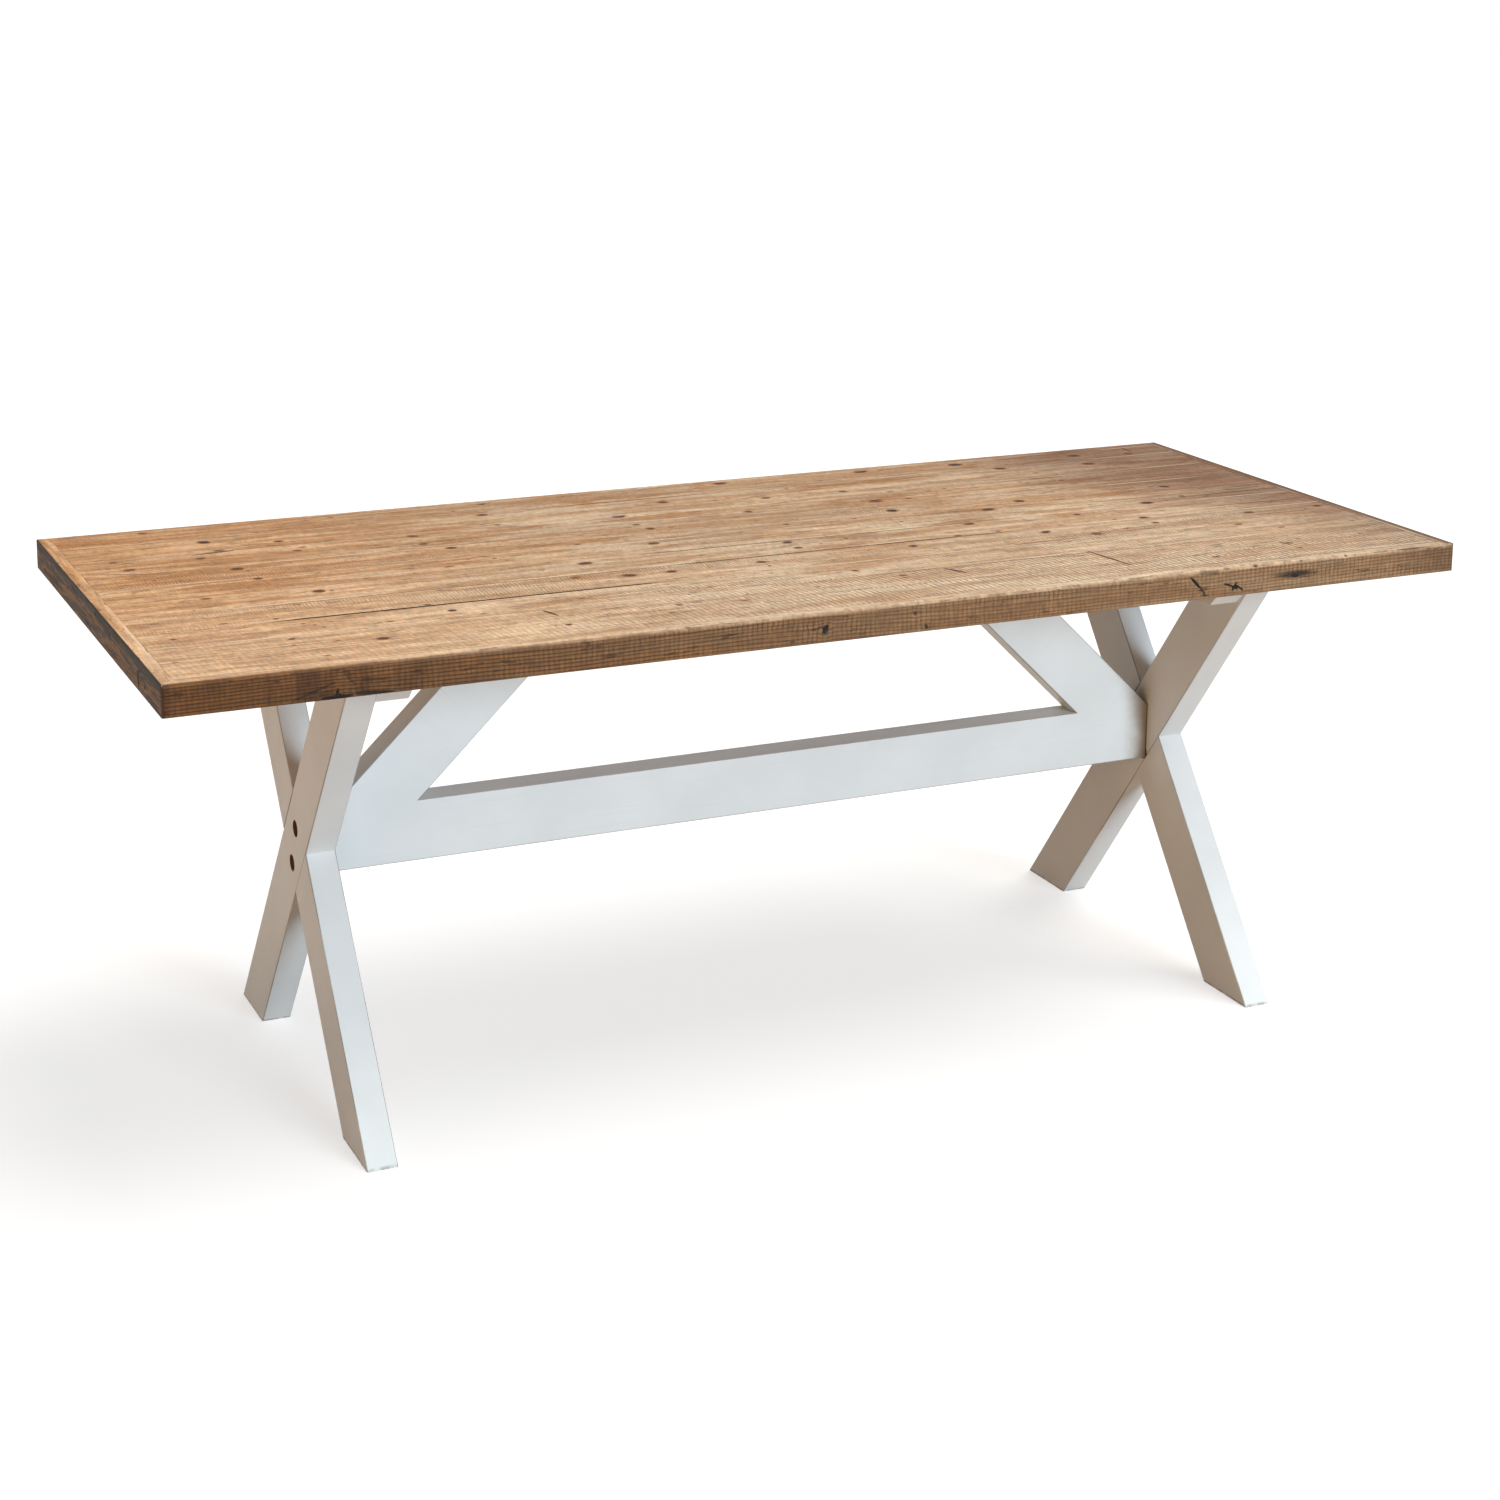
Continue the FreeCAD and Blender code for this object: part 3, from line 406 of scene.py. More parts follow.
def makeOldPine(name, look):
    material, tree = newMaterial(name)

    # values holds what can be read by name, first what was stored on the mesh
    values = {}
    for field in look["stored"]:
        values[field] = add(tree, "ShaderNodeAttribute", attribute_name=field).outputs["Fac"]
    fibre = add(tree, "ShaderNodeAttribute", attribute_name="fibre").outputs["Vector"]
    fibre = add(tree, "ShaderNodeVectorMath", {0: fibre, "Scale": 1 / mm}, operation="SCALE")
    offset = add(tree, "ShaderNodeAttribute", attribute_name="markOffset").outputs["Vector"]
    spot = add(tree, "ShaderNodeTexCoord").outputs["Object"]
    values["x"], values["y"], values["z"] = add(tree, "ShaderNodeSeparateXYZ", {0: spot}).outputs

    # the grain bends round a knot
    far = add(tree, "ShaderNodeVectorMath", {0: offset}, operation="LENGTH").outputs["Value"]
    fading = add(tree, "ShaderNodeMath", {0: far, 1: far}, operation="MULTIPLY")
    fading = add(tree, "ShaderNodeMath", {0: fading, 1: look["knotBendFading"]}, operation="MULTIPLY")
    pull = add(tree, "ShaderNodeMath", {0: fading}, operation="EXPONENT")
    for factor in (values["markReach"], values["markDark"], look["knotBend"]):
        pull = add(tree, "ShaderNodeMath", {0: pull, 1: factor}, operation="MULTIPLY")
    bend = add(tree, "ShaderNodeVectorMath", {0: offset, 1: (0, 1, 1)}, operation="MULTIPLY")
    bend = add(tree, "ShaderNodeVectorMath", {0: bend, "Scale": pull}, operation="SCALE")
    flow = add(tree, "ShaderNodeVectorMath", {0: fibre, 1: bend}, operation="SUBTRACT")

    for vector, noises in ((flow, look["grainNoise"]), (spot, look["tableNoise"])):
        for label, (along, across, detail, roughness) in noises.items():
            spread = add(tree, "ShaderNodeVectorMath", {0: vector, 1: (along, across, across)},
                         operation="MULTIPLY")
            settings = {"Vector": spread, "Scale": 1.0, "Detail": detail, "Roughness": roughness}
            values[label] = add(tree, "ShaderNodeTexNoise", settings)

    # growth rings round the pith, seen where the saw cut through them
    section = add(tree, "ShaderNodeVectorMath", {0: flow, 1: (0, 1, 1)}, operation="MULTIPLY")
    radius = add(tree, "ShaderNodeVectorMath", {0: section}, operation="LENGTH").outputs["Value"]
    radius = add(tree, "ShaderNodeMath", {0: values["wobble"], 1: look["ringWobble"], 2: radius},
                 operation="MULTIPLY_ADD")
    ringWidth = add(tree, "ShaderNodeMapRange", {0: values["outer"], 3: look["ringWidth"],
                                                 4: look["faceRingWidth"]}, interpolation_type="SMOOTHSTEP")
    ring = add(tree, "ShaderNodeMath", {0: radius, 1: ringWidth}, operation="DIVIDE")
    values["ring"] = add(tree, "ShaderNodeMath", {0: ring}, operation="FRACT")

    # how far to the left and to the right, with ragged borders, and how near to a corner
    values["slanted"] = add(tree, "ShaderNodeMath", {0: values["y"], 1: look["rightSlant"], 2: values["x"]},
                            operation="MULTIPLY_ADD")
    for label, start in (("leftward", "x"), ("rightward", "slanted")):
        raggedBy = look[label + "RaggedBy"]
        values[label] = add(tree, "ShaderNodeMath", {0: values["cloud"], 1: raggedBy, 2: values[start]},
                            operation="MULTIPLY_ADD")
    cornerX = add(tree, "ShaderNodeMath", {0: values["x"]}, operation="ABSOLUTE")
    cornerY = add(tree, "ShaderNodeMath", {0: values["y"]}, operation="ABSOLUTE")
    values["corner"] = add(tree, "ShaderNodeMath", {0: cornerX, 1: cornerY}, operation="ADD")

    # a thin line of dirt once every pitch of the saw
    sawTurn = add(tree, "ShaderNodeMath", {0: values["sawPhase"]}, operation="FRACT")
    sawTurn = add(tree, "ShaderNodeMath", {0: sawTurn, 1: 0.5}, operation="SUBTRACT")
    values["fromSawMark"] = add(tree, "ShaderNodeMath", {0: sawTurn}, operation="ABSOLUTE")

    # from the scorched smear on the front
    smear = add(tree, "ShaderNodeVectorMath", {0: spot, 1: look["scorchAt"]}, operation="SUBTRACT")
    smear = add(tree, "ShaderNodeVectorMath", {0: smear, 1: look["scorchReach"]}, operation="DIVIDE")
    smear = add(tree, "ShaderNodeVectorMath", {0: smear}, operation="LENGTH")
    values["fromScorch"] = smear.outputs["Value"]

    # from the nearest knot, in radii of its core, with a ragged border
    ragged = add(tree, "ShaderNodeTexNoise", {"Vector": fibre, "Scale": look["knotRagged"], "Detail": 3.0})
    raggedBy = look["knotRaggedBy"]
    ragged = add(tree, "ShaderNodeMath", {0: ragged, 1: raggedBy, 2: -raggedBy / 2}, operation="MULTIPLY_ADD")
    values["fromKnot"] = add(tree, "ShaderNodeMath", {0: far, 1: ragged}, operation="ADD")

    for table, interpolation in (("steps", "SMOOTHSTEP"), ("ramps", "LINEAR")):
        for label, (read, low, high, start, end) in look[table].items():
            limits = {0: values[read], 1: low, 2: high, 3: start, 4: end}
            values[label] = add(tree, "ShaderNodeMapRange", limits, interpolation_type=interpolation)
    for label, (operation, *parts) in look["masks"].items():
        values[label], *others = [values.get(part, part) for part in parts]
        for other in others:
            values[label] = add(tree, "ShaderNodeMath", {0: values[label], 1: other}, operation=operation)

    tints = {label: colour(code) for label, code in look.items() if isinstance(code, str)}
    for label, below, mask, above, *blend in look["layers"]:
        above = tints[above] if above in tints else values[above]
        tints[label] = add(tree, "ShaderNodeMix", {0: values.get(mask, mask), 6: tints[below], 7: above},
                           data_type="RGBA", blend_type=blend[0] if blend else "MIX").outputs[2]

    finishMaterial(tree, look, tints["wood"], values["rough"], values["relief"])
    return material


pineMaterial = makeOldPine("wax-rubbed old pine", oldPine)


# One tree makes the boards and the lippings from a section and a length
sawnTimber = {
    "station": 1.4,  # millimetres between the sections of a sweep
    "seedStep": 7.31,  # metres of grain between one piece and the next
    "sawDepth": 0.22,  # this and all other depths and widths are millimetres
    "sawDrift": 20,
    "sawDriftRepeats": 5.0,  # this and all other repeats are for a metre
    "sawTremble": 6,
    "sawTrembleRepeats": 80.0,
    "sawPatchRepeats": (3.0, 18.0, 18.0),
    "sawPatch": (0.42, 0.62, 0.08, 1.0),  # from and to in the noise, and the marks' strength at either
    "sawFades": (-0.7, 0.2),  # metres from the middle, where the marks are worn away to the left
    "sawSharpness": 2.0,
    "smoothed": 0.8,  # how much of the saw marks has gone from a lipping's top
    "dent": (0.35, 1.05),  # where a mark's floor ends and where its slope does, in radii
    "hollows": 0.5,
    "hollowRepeats": (7.0, 30.0, 30.0),
    "jointWander": 0.35,
    "jointRepeats": (9.0, 3.0, 0.0),
    "jointFrom": 28,  # heights between which a joint widens
    "jointTo": 43,
    "jointSide": (1.0, 1.6),  # depth behind a board's edge to which it moves when its joint widens
    "openFading": 90,  # width at which an open joint's edges are at their darkest
    "openDarkest": 2,  # width at which an open joint is at its dirtiest
}


def makeTimberTree(look):
    tree = bpy.data.node_groups.new("sawnTimber", "GeometryNodeTree")
    tree.is_modifier = True
    sockets = {}
    for kind, names in (
        ("Object", ("Section", "Marks")), ("Material", ("Material",)), ("Vector", ("Pith", "Saw slant")),
        ("Float", ("Length", "Width", "Station", "Mitre", "Outer face", "Corner radius", "Seed", "Tone",
                   "Saw pitch", "Saw depth", "Saw least", "Saw left", "Joint wander", "Joint dirt",
                   "Gap from", "Gap to", "Gap width", "Weather", "Worn")),
    ):
        for name in names:
            socket = tree.interface.new_socket(name, in_out="INPUT", socket_type="NodeSocket" + kind)
            sockets[name] = socket.identifier
    tree.interface.new_socket("Geometry", in_out="OUTPUT", socket_type="NodeSocketGeometry")
    given = add(tree, "NodeGroupInput").outputs

    # sweep the section along X
    half = add(tree, "ShaderNodeMath", {0: given["Length"], 1: 0.5}, operation="MULTIPLY")
    minusHalf = add(tree, "ShaderNodeMath", {0: half, 1: -1.0}, operation="MULTIPLY")
    start = add(tree, "ShaderNodeCombineXYZ", {0: minusHalf})
    end = add(tree, "ShaderNodeCombineXYZ", {0: half})
    line = add(tree, "GeometryNodeCurvePrimitiveLine", {"Start": start, "End": end})
    line = add(tree, "GeometryNodeResampleCurve", {"Curve": line, "Length": given["Station"]}, mode="LENGTH")
    section = add(tree, "GeometryNodeObjectInfo", {"Object": given["Section"]}).outputs["Geometry"]
    bar = add(tree, "GeometryNodeCurveToMesh", {"Curve": line, "Profile Curve": section, "Fill Caps": True})

    place = add(tree, "GeometryNodeInputPosition")
    along, across, upward = add(tree, "ShaderNodeSeparateXYZ", {0: place}).outputs
    short = add(tree, "ShaderNodeMath", {0: across, 1: given["Mitre"]}, operation="MULTIPLY")
    short = add(tree, "ShaderNodeMath", {0: short, 1: half}, operation="DIVIDE")
    short = add(tree, "ShaderNodeMath", {0: 1.0, 1: short}, operation="SUBTRACT")
    alongMitred = add(tree, "ShaderNodeMath", {0: along, 1: short}, operation="MULTIPLY")
    mitred = add(tree, "ShaderNodeCombineXYZ", {0: alongMitred, 1: across, 2: upward})

    # the upright corners are rounded: what lies outside the radius is drawn in to it
    radius = given["Corner radius"]
    fromMiddle = add(tree, "ShaderNodeMath", {0: alongMitred}, operation="ABSOLUTE")
    fromEnd = add(tree, "ShaderNodeMath", {0: half, 1: fromMiddle}, operation="SUBTRACT")
    overEnd = add(tree, "ShaderNodeMath", {0: radius, 1: fromEnd}, operation="SUBTRACT")
    overEnd = add(tree, "ShaderNodeMath", {0: overEnd, 1: 0.0}, operation="MAXIMUM")
    overFace = add(tree, "ShaderNodeMath", {0: radius, 1: across}, operation="SUBTRACT")
    overFace = add(tree, "ShaderNodeMath", {0: overFace, 1: 0.0}, operation="MAXIMUM")
    inwards = add(tree, "ShaderNodeMath", {0: alongMitred}, operation="SIGN")
    inwards = add(tree, "ShaderNodeMath", {0: inwards, 1: -1.0}, operation="MULTIPLY")
    overEnd = add(tree, "ShaderNodeMath", {0: overEnd, 1: inwards}, operation="MULTIPLY")
    over = add(tree, "ShaderNodeCombineXYZ", {0: overEnd, 1: overFace})
    overBy = add(tree, "ShaderNodeVectorMath", {0: over}, operation="LENGTH").outputs["Value"]
    kept = add(tree, "ShaderNodeMath", {0: radius, 1: overBy}, operation="DIVIDE")
    kept = add(tree, "ShaderNodeMath", {0: kept, 1: 1.0}, operation="MINIMUM")
    drawn = add(tree, "ShaderNodeMath", {0: 1.0, 1: kept}, operation="SUBTRACT")
    over = add(tree, "ShaderNodeVectorMath", {0: over, "Scale": drawn}, operation="SCALE")
    bar = add(tree, "GeometryNodeSetPosition", {"Geometry": bar, "Position": mitred, "Offset": over})

    # the fibres run along X, offset so that no two pieces share a pattern
    seedShift = add(tree, "ShaderNodeMath", {0: given["Seed"], 1: look["seedStep"]}, operation="MULTIPLY")
    seedVector = add(tree, "ShaderNodeCombineXYZ", {0: seedShift})
    fibre = add(tree, "ShaderNodeVectorMath", {0: place, 1: seedVector}, operation="ADD")
    fibreFromPith = add(tree, "ShaderNodeVectorMath", {0: fibre, 1: given["Pith"]}, operation="SUBTRACT")

    # saw marks
    drift = {"Vector": fibre, "Scale": look["sawDriftRepeats"], "Detail": 2.0}
    drift = add(tree, "ShaderNodeTexNoise", drift)
    lean = add(tree, "ShaderNodeVectorMath", {0: place, 1: given["Saw slant"]}, operation="DOT_PRODUCT")
    phase = add(tree, "ShaderNodeMath", {0: drift, 1: look["sawDrift"] * mm, 2: lean.outputs["Value"]},
                operation="MULTIPLY_ADD")
    phase = add(tree, "ShaderNodeMath", {0: phase, 1: along}, operation="ADD")
    tremble = {"Vector": fibre, "Scale": look["sawTrembleRepeats"], "Detail": 1.0}
    tremble = add(tree, "ShaderNodeTexNoise", tremble)
    phase = add(tree, "ShaderNodeMath", {0: tremble, 1: look["sawTremble"] * mm, 2: phase},
                operation="MULTIPLY_ADD")
    phase = add(tree, "ShaderNodeMath", {0: phase, 1: given["Saw pitch"]}, operation="DIVIDE")
    here = add(tree, "ShaderNodeVectorMath", {0: fibre, 1: look["sawPatchRepeats"]}, operation="MULTIPLY")
    here = add(tree, "ShaderNodeTexNoise", {"Vector": here, "Scale": 1.0, "Detail": 2.0})
    low, high, least, most = look["sawPatch"]
    here = add(tree, "ShaderNodeMapRange", {0: here, 1: low, 2: high, 3: least, 4: most})
    here = add(tree, "ShaderNodeMath", {0: here, 1: given["Saw least"]}, operation="MAXIMUM")
    # worn away towards the left end, to the share given
    low, high = look["sawFades"]
    fading = add(tree, "ShaderNodeMapRange", {0: along, 1: low, 2: high, 3: given["Saw left"], 4: 1.0},
                 interpolation_type="SMOOTHSTEP")
    here = add(tree, "ShaderNodeMath", {0: here, 1: fading}, operation="MULTIPLY")
    groove = add(tree, "ShaderNodeMath", {0: phase, 1: math.tau}, operation="MULTIPLY")
    groove = add(tree, "ShaderNodeMath", {0: groove}, operation="COSINE")
    groove = add(tree, "ShaderNodeMath", {0: groove, 1: -0.5, 2: 0.5}, operation="MULTIPLY_ADD")
    groove = add(tree, "ShaderNodeMath", {0: groove, 1: look["sawSharpness"]}, operation="POWER")
    groove = add(tree, "ShaderNodeMath", {0: groove, 1: here}, operation="MULTIPLY")
    groove = add(tree, "ShaderNodeMath", {0: groove, 1: given["Saw depth"]}, operation="MULTIPLY")

    # knots, cracks and chips: the nearest mark counts
    marks = add(tree, "GeometryNodeObjectInfo", {"Object": given["Marks"]}).outputs["Geometry"]
    nearest = add(tree, "GeometryNodeSampleNearest", {"Geometry": marks, "Sample Position": place},
                  domain="POINT")
    centre = add(tree, "GeometryNodeSampleIndex", {"Geometry": marks, "Value": place, "Index": nearest},
                 data_type="FLOAT_VECTOR", domain="POINT")
    sampled = {}
    for name in ("reach", "stretch", "tilt", "sink", "dark"):
        value = add(tree, "GeometryNodeInputNamedAttribute", {"Name": name}, data_type="FLOAT")
        found = {"Geometry": marks, "Value": value, "Index": nearest}
        sampled[name] = add(tree, "GeometryNodeSampleIndex", found, data_type="FLOAT", domain="POINT")
    fromCentre = add(tree, "ShaderNodeVectorMath", {0: place, 1: centre}, operation="SUBTRACT")
    dx, dy, dz = add(tree, "ShaderNodeSeparateXYZ", {0: fromCentre}).outputs
    dyz = add(tree, "ShaderNodeMath", {0: dy, 1: dz}, operation="ADD")
    sideways = add(tree, "ShaderNodeMath", {0: dyz, 1: sampled["tilt"]}, operation="MULTIPLY")
    dx = add(tree, "ShaderNodeMath", {0: dx, 1: sideways}, operation="SUBTRACT")
    dx = add(tree, "ShaderNodeMath", {0: dx, 1: sampled["stretch"]}, operation="DIVIDE")
    offset = add(tree, "ShaderNodeCombineXYZ", {0: dx, 1: dy, 2: dz})
    reachMetres = add(tree, "ShaderNodeMath", {0: sampled["reach"], 1: mm}, operation="MULTIPLY")
    inverse = add(tree, "ShaderNodeMath", {0: 1.0, 1: reachMetres}, operation="DIVIDE")
    offset = add(tree, "ShaderNodeVectorMath", {0: offset, "Scale": inverse}, operation="SCALE")
    far = add(tree, "ShaderNodeVectorMath", {0: offset}, operation="LENGTH").outputs["Value"]
    floorEnd, slopeEnd = look["dent"]
    dent = add(tree, "ShaderNodeMapRange", {0: far, 1: floorEnd, 2: slopeEnd, 3: 1.0, 4: 0.0},
               interpolation_type="SMOOTHSTEP")
    dent = add(tree, "ShaderNodeMath", {0: dent, 1: sampled["sink"]}, operation="MULTIPLY")
    dent = add(tree, "ShaderNodeMath", {0: dent, 1: mm}, operation="MULTIPLY")

    # gentle hollows and a worn, uneven surface
    worn = add(tree, "ShaderNodeVectorMath", {0: fibre, 1: look["hollowRepeats"]}, operation="MULTIPLY")
    worn = add(tree, "ShaderNodeTexNoise", {"Vector": worn, "Scale": 1.0, "Detail": 3.0})
    worn = add(tree, "ShaderNodeMath", {0: worn, 1: look["hollows"] * mm}, operation="MULTIPLY")

    # only the top and, on a lipping, the outer face are worked
    normal = add(tree, "GeometryNodeInputNormal")
    _, normalY, normalZ = add(tree, "ShaderNodeSeparateXYZ", {0: normal}).outputs
    onTop = add(tree, "ShaderNodeMapRange", {0: normalZ, 1: 0.3, 2: 0.8})
    onOuter = add(tree, "ShaderNodeMapRange", {0: normalY, 1: -0.3, 2: -0.8})
    onOuter = add(tree, "ShaderNodeMath", {0: onOuter, 1: given["Outer face"]}, operation="MULTIPLY")
    worked = add(tree, "ShaderNodeMath", {0: onTop, 1: onOuter}, operation="ADD")
    worked = add(tree, "ShaderNodeClamp", {0: worked})
    # hands have rubbed the top and the arrises of a lipping smooth
    smooth = add(tree, "ShaderNodeMapRange", {0: normalZ, 1: 0.1, 2: 0.5})
    smooth = add(tree, "ShaderNodeMath", {0: smooth, 1: given["Outer face"]}, operation="MULTIPLY")
    smooth = add(tree, "ShaderNodeMath", {0: smooth, 1: -look["smoothed"], 2: 1.0}, operation="MULTIPLY_ADD")
    groove = add(tree, "ShaderNodeMath", {0: groove, 1: smooth}, operation="MULTIPLY")
    here = add(tree, "ShaderNodeMath", {0: here, 1: smooth}, operation="MULTIPLY")
    depth = add(tree, "ShaderNodeMath", {0: groove, 1: dent}, operation="ADD")
    depth = add(tree, "ShaderNodeMath", {0: depth, 1: worn}, operation="ADD")
    depth = add(tree, "ShaderNodeMath", {0: depth, 1: worked}, operation="MULTIPLY")
    depth = add(tree, "ShaderNodeMath", {0: depth, 1: -1.0}, operation="MULTIPLY")
    inward = add(tree, "ShaderNodeVectorMath", {0: normal, "Scale": depth}, operation="SCALE")

    # a joint widens towards the top, by a little everywhere and by more where it stands open
    high = add(tree, "ShaderNodeMapRange", {0: upward, 1: look["jointFrom"] * mm, 2: look["jointTo"] * mm})
    ease = add(tree, "ShaderNodeVectorMath", {0: fibre, 1: look["jointRepeats"]}, operation="MULTIPLY")
    ease = add(tree, "ShaderNodeTexNoise", {"Vector": ease, "Scale": 1.0, "Detail": 3.0})
    ease = add(tree, "ShaderNodeMapRange", {0: ease, 1: 0.4, 2: 0.7}, interpolation_type="SMOOTHSTEP")
    ease = add(tree, "ShaderNodeMath", {0: ease, 1: given["Joint wander"]}, operation="MULTIPLY")
    fromStart = add(tree, "ShaderNodeMath", {0: along, 1: given["Gap from"]}, operation="SUBTRACT")
    toEnd = add(tree, "ShaderNodeMath", {0: given["Gap to"], 1: along}, operation="SUBTRACT")
    within = add(tree, "ShaderNodeMath", {0: fromStart, 1: toEnd}, operation="MINIMUM")
    within = add(tree, "ShaderNodeMapRange", {0: within, 2: look["openFading"] * mm},
                 interpolation_type="SMOOTHSTEP")
    wide = add(tree, "ShaderNodeMapRange", {0: given["Gap width"], 2: look["openDarkest"] * mm})
    opened = add(tree, "ShaderNodeMath", {0: within, 1: wide}, operation="MULTIPLY")
    opening = add(tree, "ShaderNodeMath", {0: within, 1: given["Gap width"], 2: ease},
                  operation="MULTIPLY_ADD")
    sideFrom, sideTo = (reach * mm for reach in look["jointSide"])
    onFront = add(tree, "ShaderNodeMapRange", {0: across, 1: sideFrom, 2: sideTo, 3: 1.0, 4: 0.0})
    behindBack = add(tree, "ShaderNodeMath", {0: given["Width"], 1: across}, operation="SUBTRACT")
    onBack = add(tree, "ShaderNodeMapRange", {0: behindBack, 1: sideFrom, 2: sideTo, 3: 1.0, 4: 0.0})
    inner = add(tree, "ShaderNodeMath", {0: 1.0, 1: given["Outer face"]}, operation="SUBTRACT")
    push = add(tree, "ShaderNodeMath", {0: onFront, 1: opening}, operation="MULTIPLY")
    push = add(tree, "ShaderNodeMath", {0: push, 1: inner}, operation="MULTIPLY")
    pushBack = add(tree, "ShaderNodeMath", {0: onBack, 1: ease}, operation="MULTIPLY")
    push = add(tree, "ShaderNodeMath", {0: push, 1: pushBack}, operation="SUBTRACT")
    push = add(tree, "ShaderNodeMath", {0: push, 1: high}, operation="MULTIPLY")
    push = add(tree, "ShaderNodeCombineXYZ", {1: push})
    shift = add(tree, "ShaderNodeVectorMath", {0: inward, 1: push}, operation="ADD")

    # millimetres from the nearest joint and from the outer face of a lipping, with a metre added
    # where an edge is not one
    rimNear = add(tree, "ShaderNodeMath", {0: across, 1: given["Outer face"]}, operation="ADD")
    rim = add(tree, "ShaderNodeMath", {0: rimNear, 1: behindBack}, operation="MINIMUM")
    rim = add(tree, "ShaderNodeMath", {0: rim, 1: 1 / mm}, operation="MULTIPLY")
    edge = add(tree, "ShaderNodeMath", {0: across, 1: inner}, operation="ADD")
    edge = add(tree, "ShaderNodeMath", {0: edge, 1: 1 / mm}, operation="MULTIPLY")
    weather = add(tree, "ShaderNodeMath", {0: onOuter, 1: given["Weather"]}, operation="MULTIPLY")

    # what the material reads, stored before the surface moves
    for name, value, kind in (
        ("fibre", fibreFromPith, "FLOAT_VECTOR"), ("markOffset", offset, "FLOAT_VECTOR"),
        ("markReach", sampled["reach"], "FLOAT"), ("markDark", sampled["dark"], "FLOAT"),
        ("sawPhase", phase, "FLOAT"), ("sawHere", here, "FLOAT"), ("rim", rim, "FLOAT"),
        ("tone", given["Tone"], "FLOAT"), ("outer", onOuter, "FLOAT"), ("edge", edge, "FLOAT"),
        ("weather", weather, "FLOAT"), ("opened", opened, "FLOAT"), ("worn", given["Worn"], "FLOAT"),
        ("jointDirt", given["Joint dirt"], "FLOAT"),
    ):
        bar = add(tree, "GeometryNodeStoreNamedAttribute", {"Geometry": bar, "Name": name, "Value": value},
                  data_type=kind, domain="POINT")
    bar = add(tree, "GeometryNodeSetPosition", {"Geometry": bar, "Offset": shift})
    bar = add(tree, "GeometryNodeRealizeInstances", {"Geometry": bar})
    bar = add(tree, "GeometryNodeSetMaterial", {"Geometry": bar, "Material": given["Material"]})
    add(tree, "NodeGroupOutput", {"Geometry": bar})
    return tree, sockets


timberTree, timberSockets = makeTimberTree(sawnTimber)


# Adds points between corners (y, z, spacing of the points up to the next corner), in millimetres
def dividedOutline(corners):
    points = []
    for i, (y, z, spacing) in enumerate(corners):
        nextY, nextZ, _ = corners[(i + 1) % len(corners)]
        steps = max(1, round(math.hypot(nextY - y, nextZ - z) / spacing)) if spacing else 1
        points += [(y + (nextY - y) * k / steps, z + (nextZ - z) * k / steps) for k in range(steps)]
    return points


def sectionObject(name, corners):
    points = dividedOutline(corners)
    data = bpy.data.curves.new(name, "CURVE")
    data.dimensions = "3D"
    spline = data.splines.new("POLY")
    spline.points.add(len(points) - 1)
    # a sweep along X turns the section's x to -Y and its y to -Z
    for point, (y, z) in zip(spline.points, points):
        point.co = (-y * mm, -z * mm, 0, 1)
    spline.use_cyclic_u = True
    obj = bpy.data.objects.new(name, data)
    scene.collection.objects.link(obj)
    return obj


# Marks are (x, y, z, reach, stretch, tilt, sink, dark): metres for the place, millimetres for the
# reach and the sink
def marksObject(name, marks):
    marks = marks or [(9, 9, 9, 1, 1, 0, 0, 0)]
    mesh = bpy.data.meshes.new(name)
    mesh.from_pydata([mark[:3] for mark in marks], [], [])
    for k, field in enumerate(("reach", "stretch", "tilt", "sink", "dark"), start=3):
        layer = mesh.attributes.new(field, "FLOAT", "POINT")
        layer.data.foreach_set("value", [float(mark[k]) for mark in marks])
    obj = bpy.data.objects.new(name, mesh)
    scene.collection.objects.link(obj)
    return obj


def sweepTimber(name, corners, marks, place, inputs):
    section = sectionObject(name + "_section", corners)
    marksAt = marksObject(name + "_marks", marks)
    holder = bpy.data.objects.new(name + "_sweep", bpy.data.meshes.new(name + "_sweep"))
    scene.collection.objects.link(holder)
    modifier = holder.modifiers.new("sawnTimber", "NODES")
    modifier.node_group = timberTree
    values = {"Section": section, "Marks": marksAt, "Material": pineMaterial,
              "Station": sawnTimber["station"] * mm,
              "Saw depth": sawnTimber["sawDepth"] * mm, "Joint wander": sawnTimber["jointWander"] * mm}
    values.update(inputs)
    for label, value in values.items():
        modifier[timberSockets[label]] = value
    graph = bpy.context.evaluated_depsgraph_get()
    mesh = bpy.data.meshes.new_from_object(holder.evaluated_get(graph), preserve_all_data_layers=True,
                                           depsgraph=graph)
    mesh.name = name
    mesh.transform(place)
    for temporary in (holder, section, marksAt):
        bpy.data.objects.remove(temporary)
    piece = bpy.data.objects.new(name, mesh)
    scene.collection.objects.link(piece)
    mesh.polygons.foreach_set("use_smooth", [True] * len(mesh.polygons))
    return piece


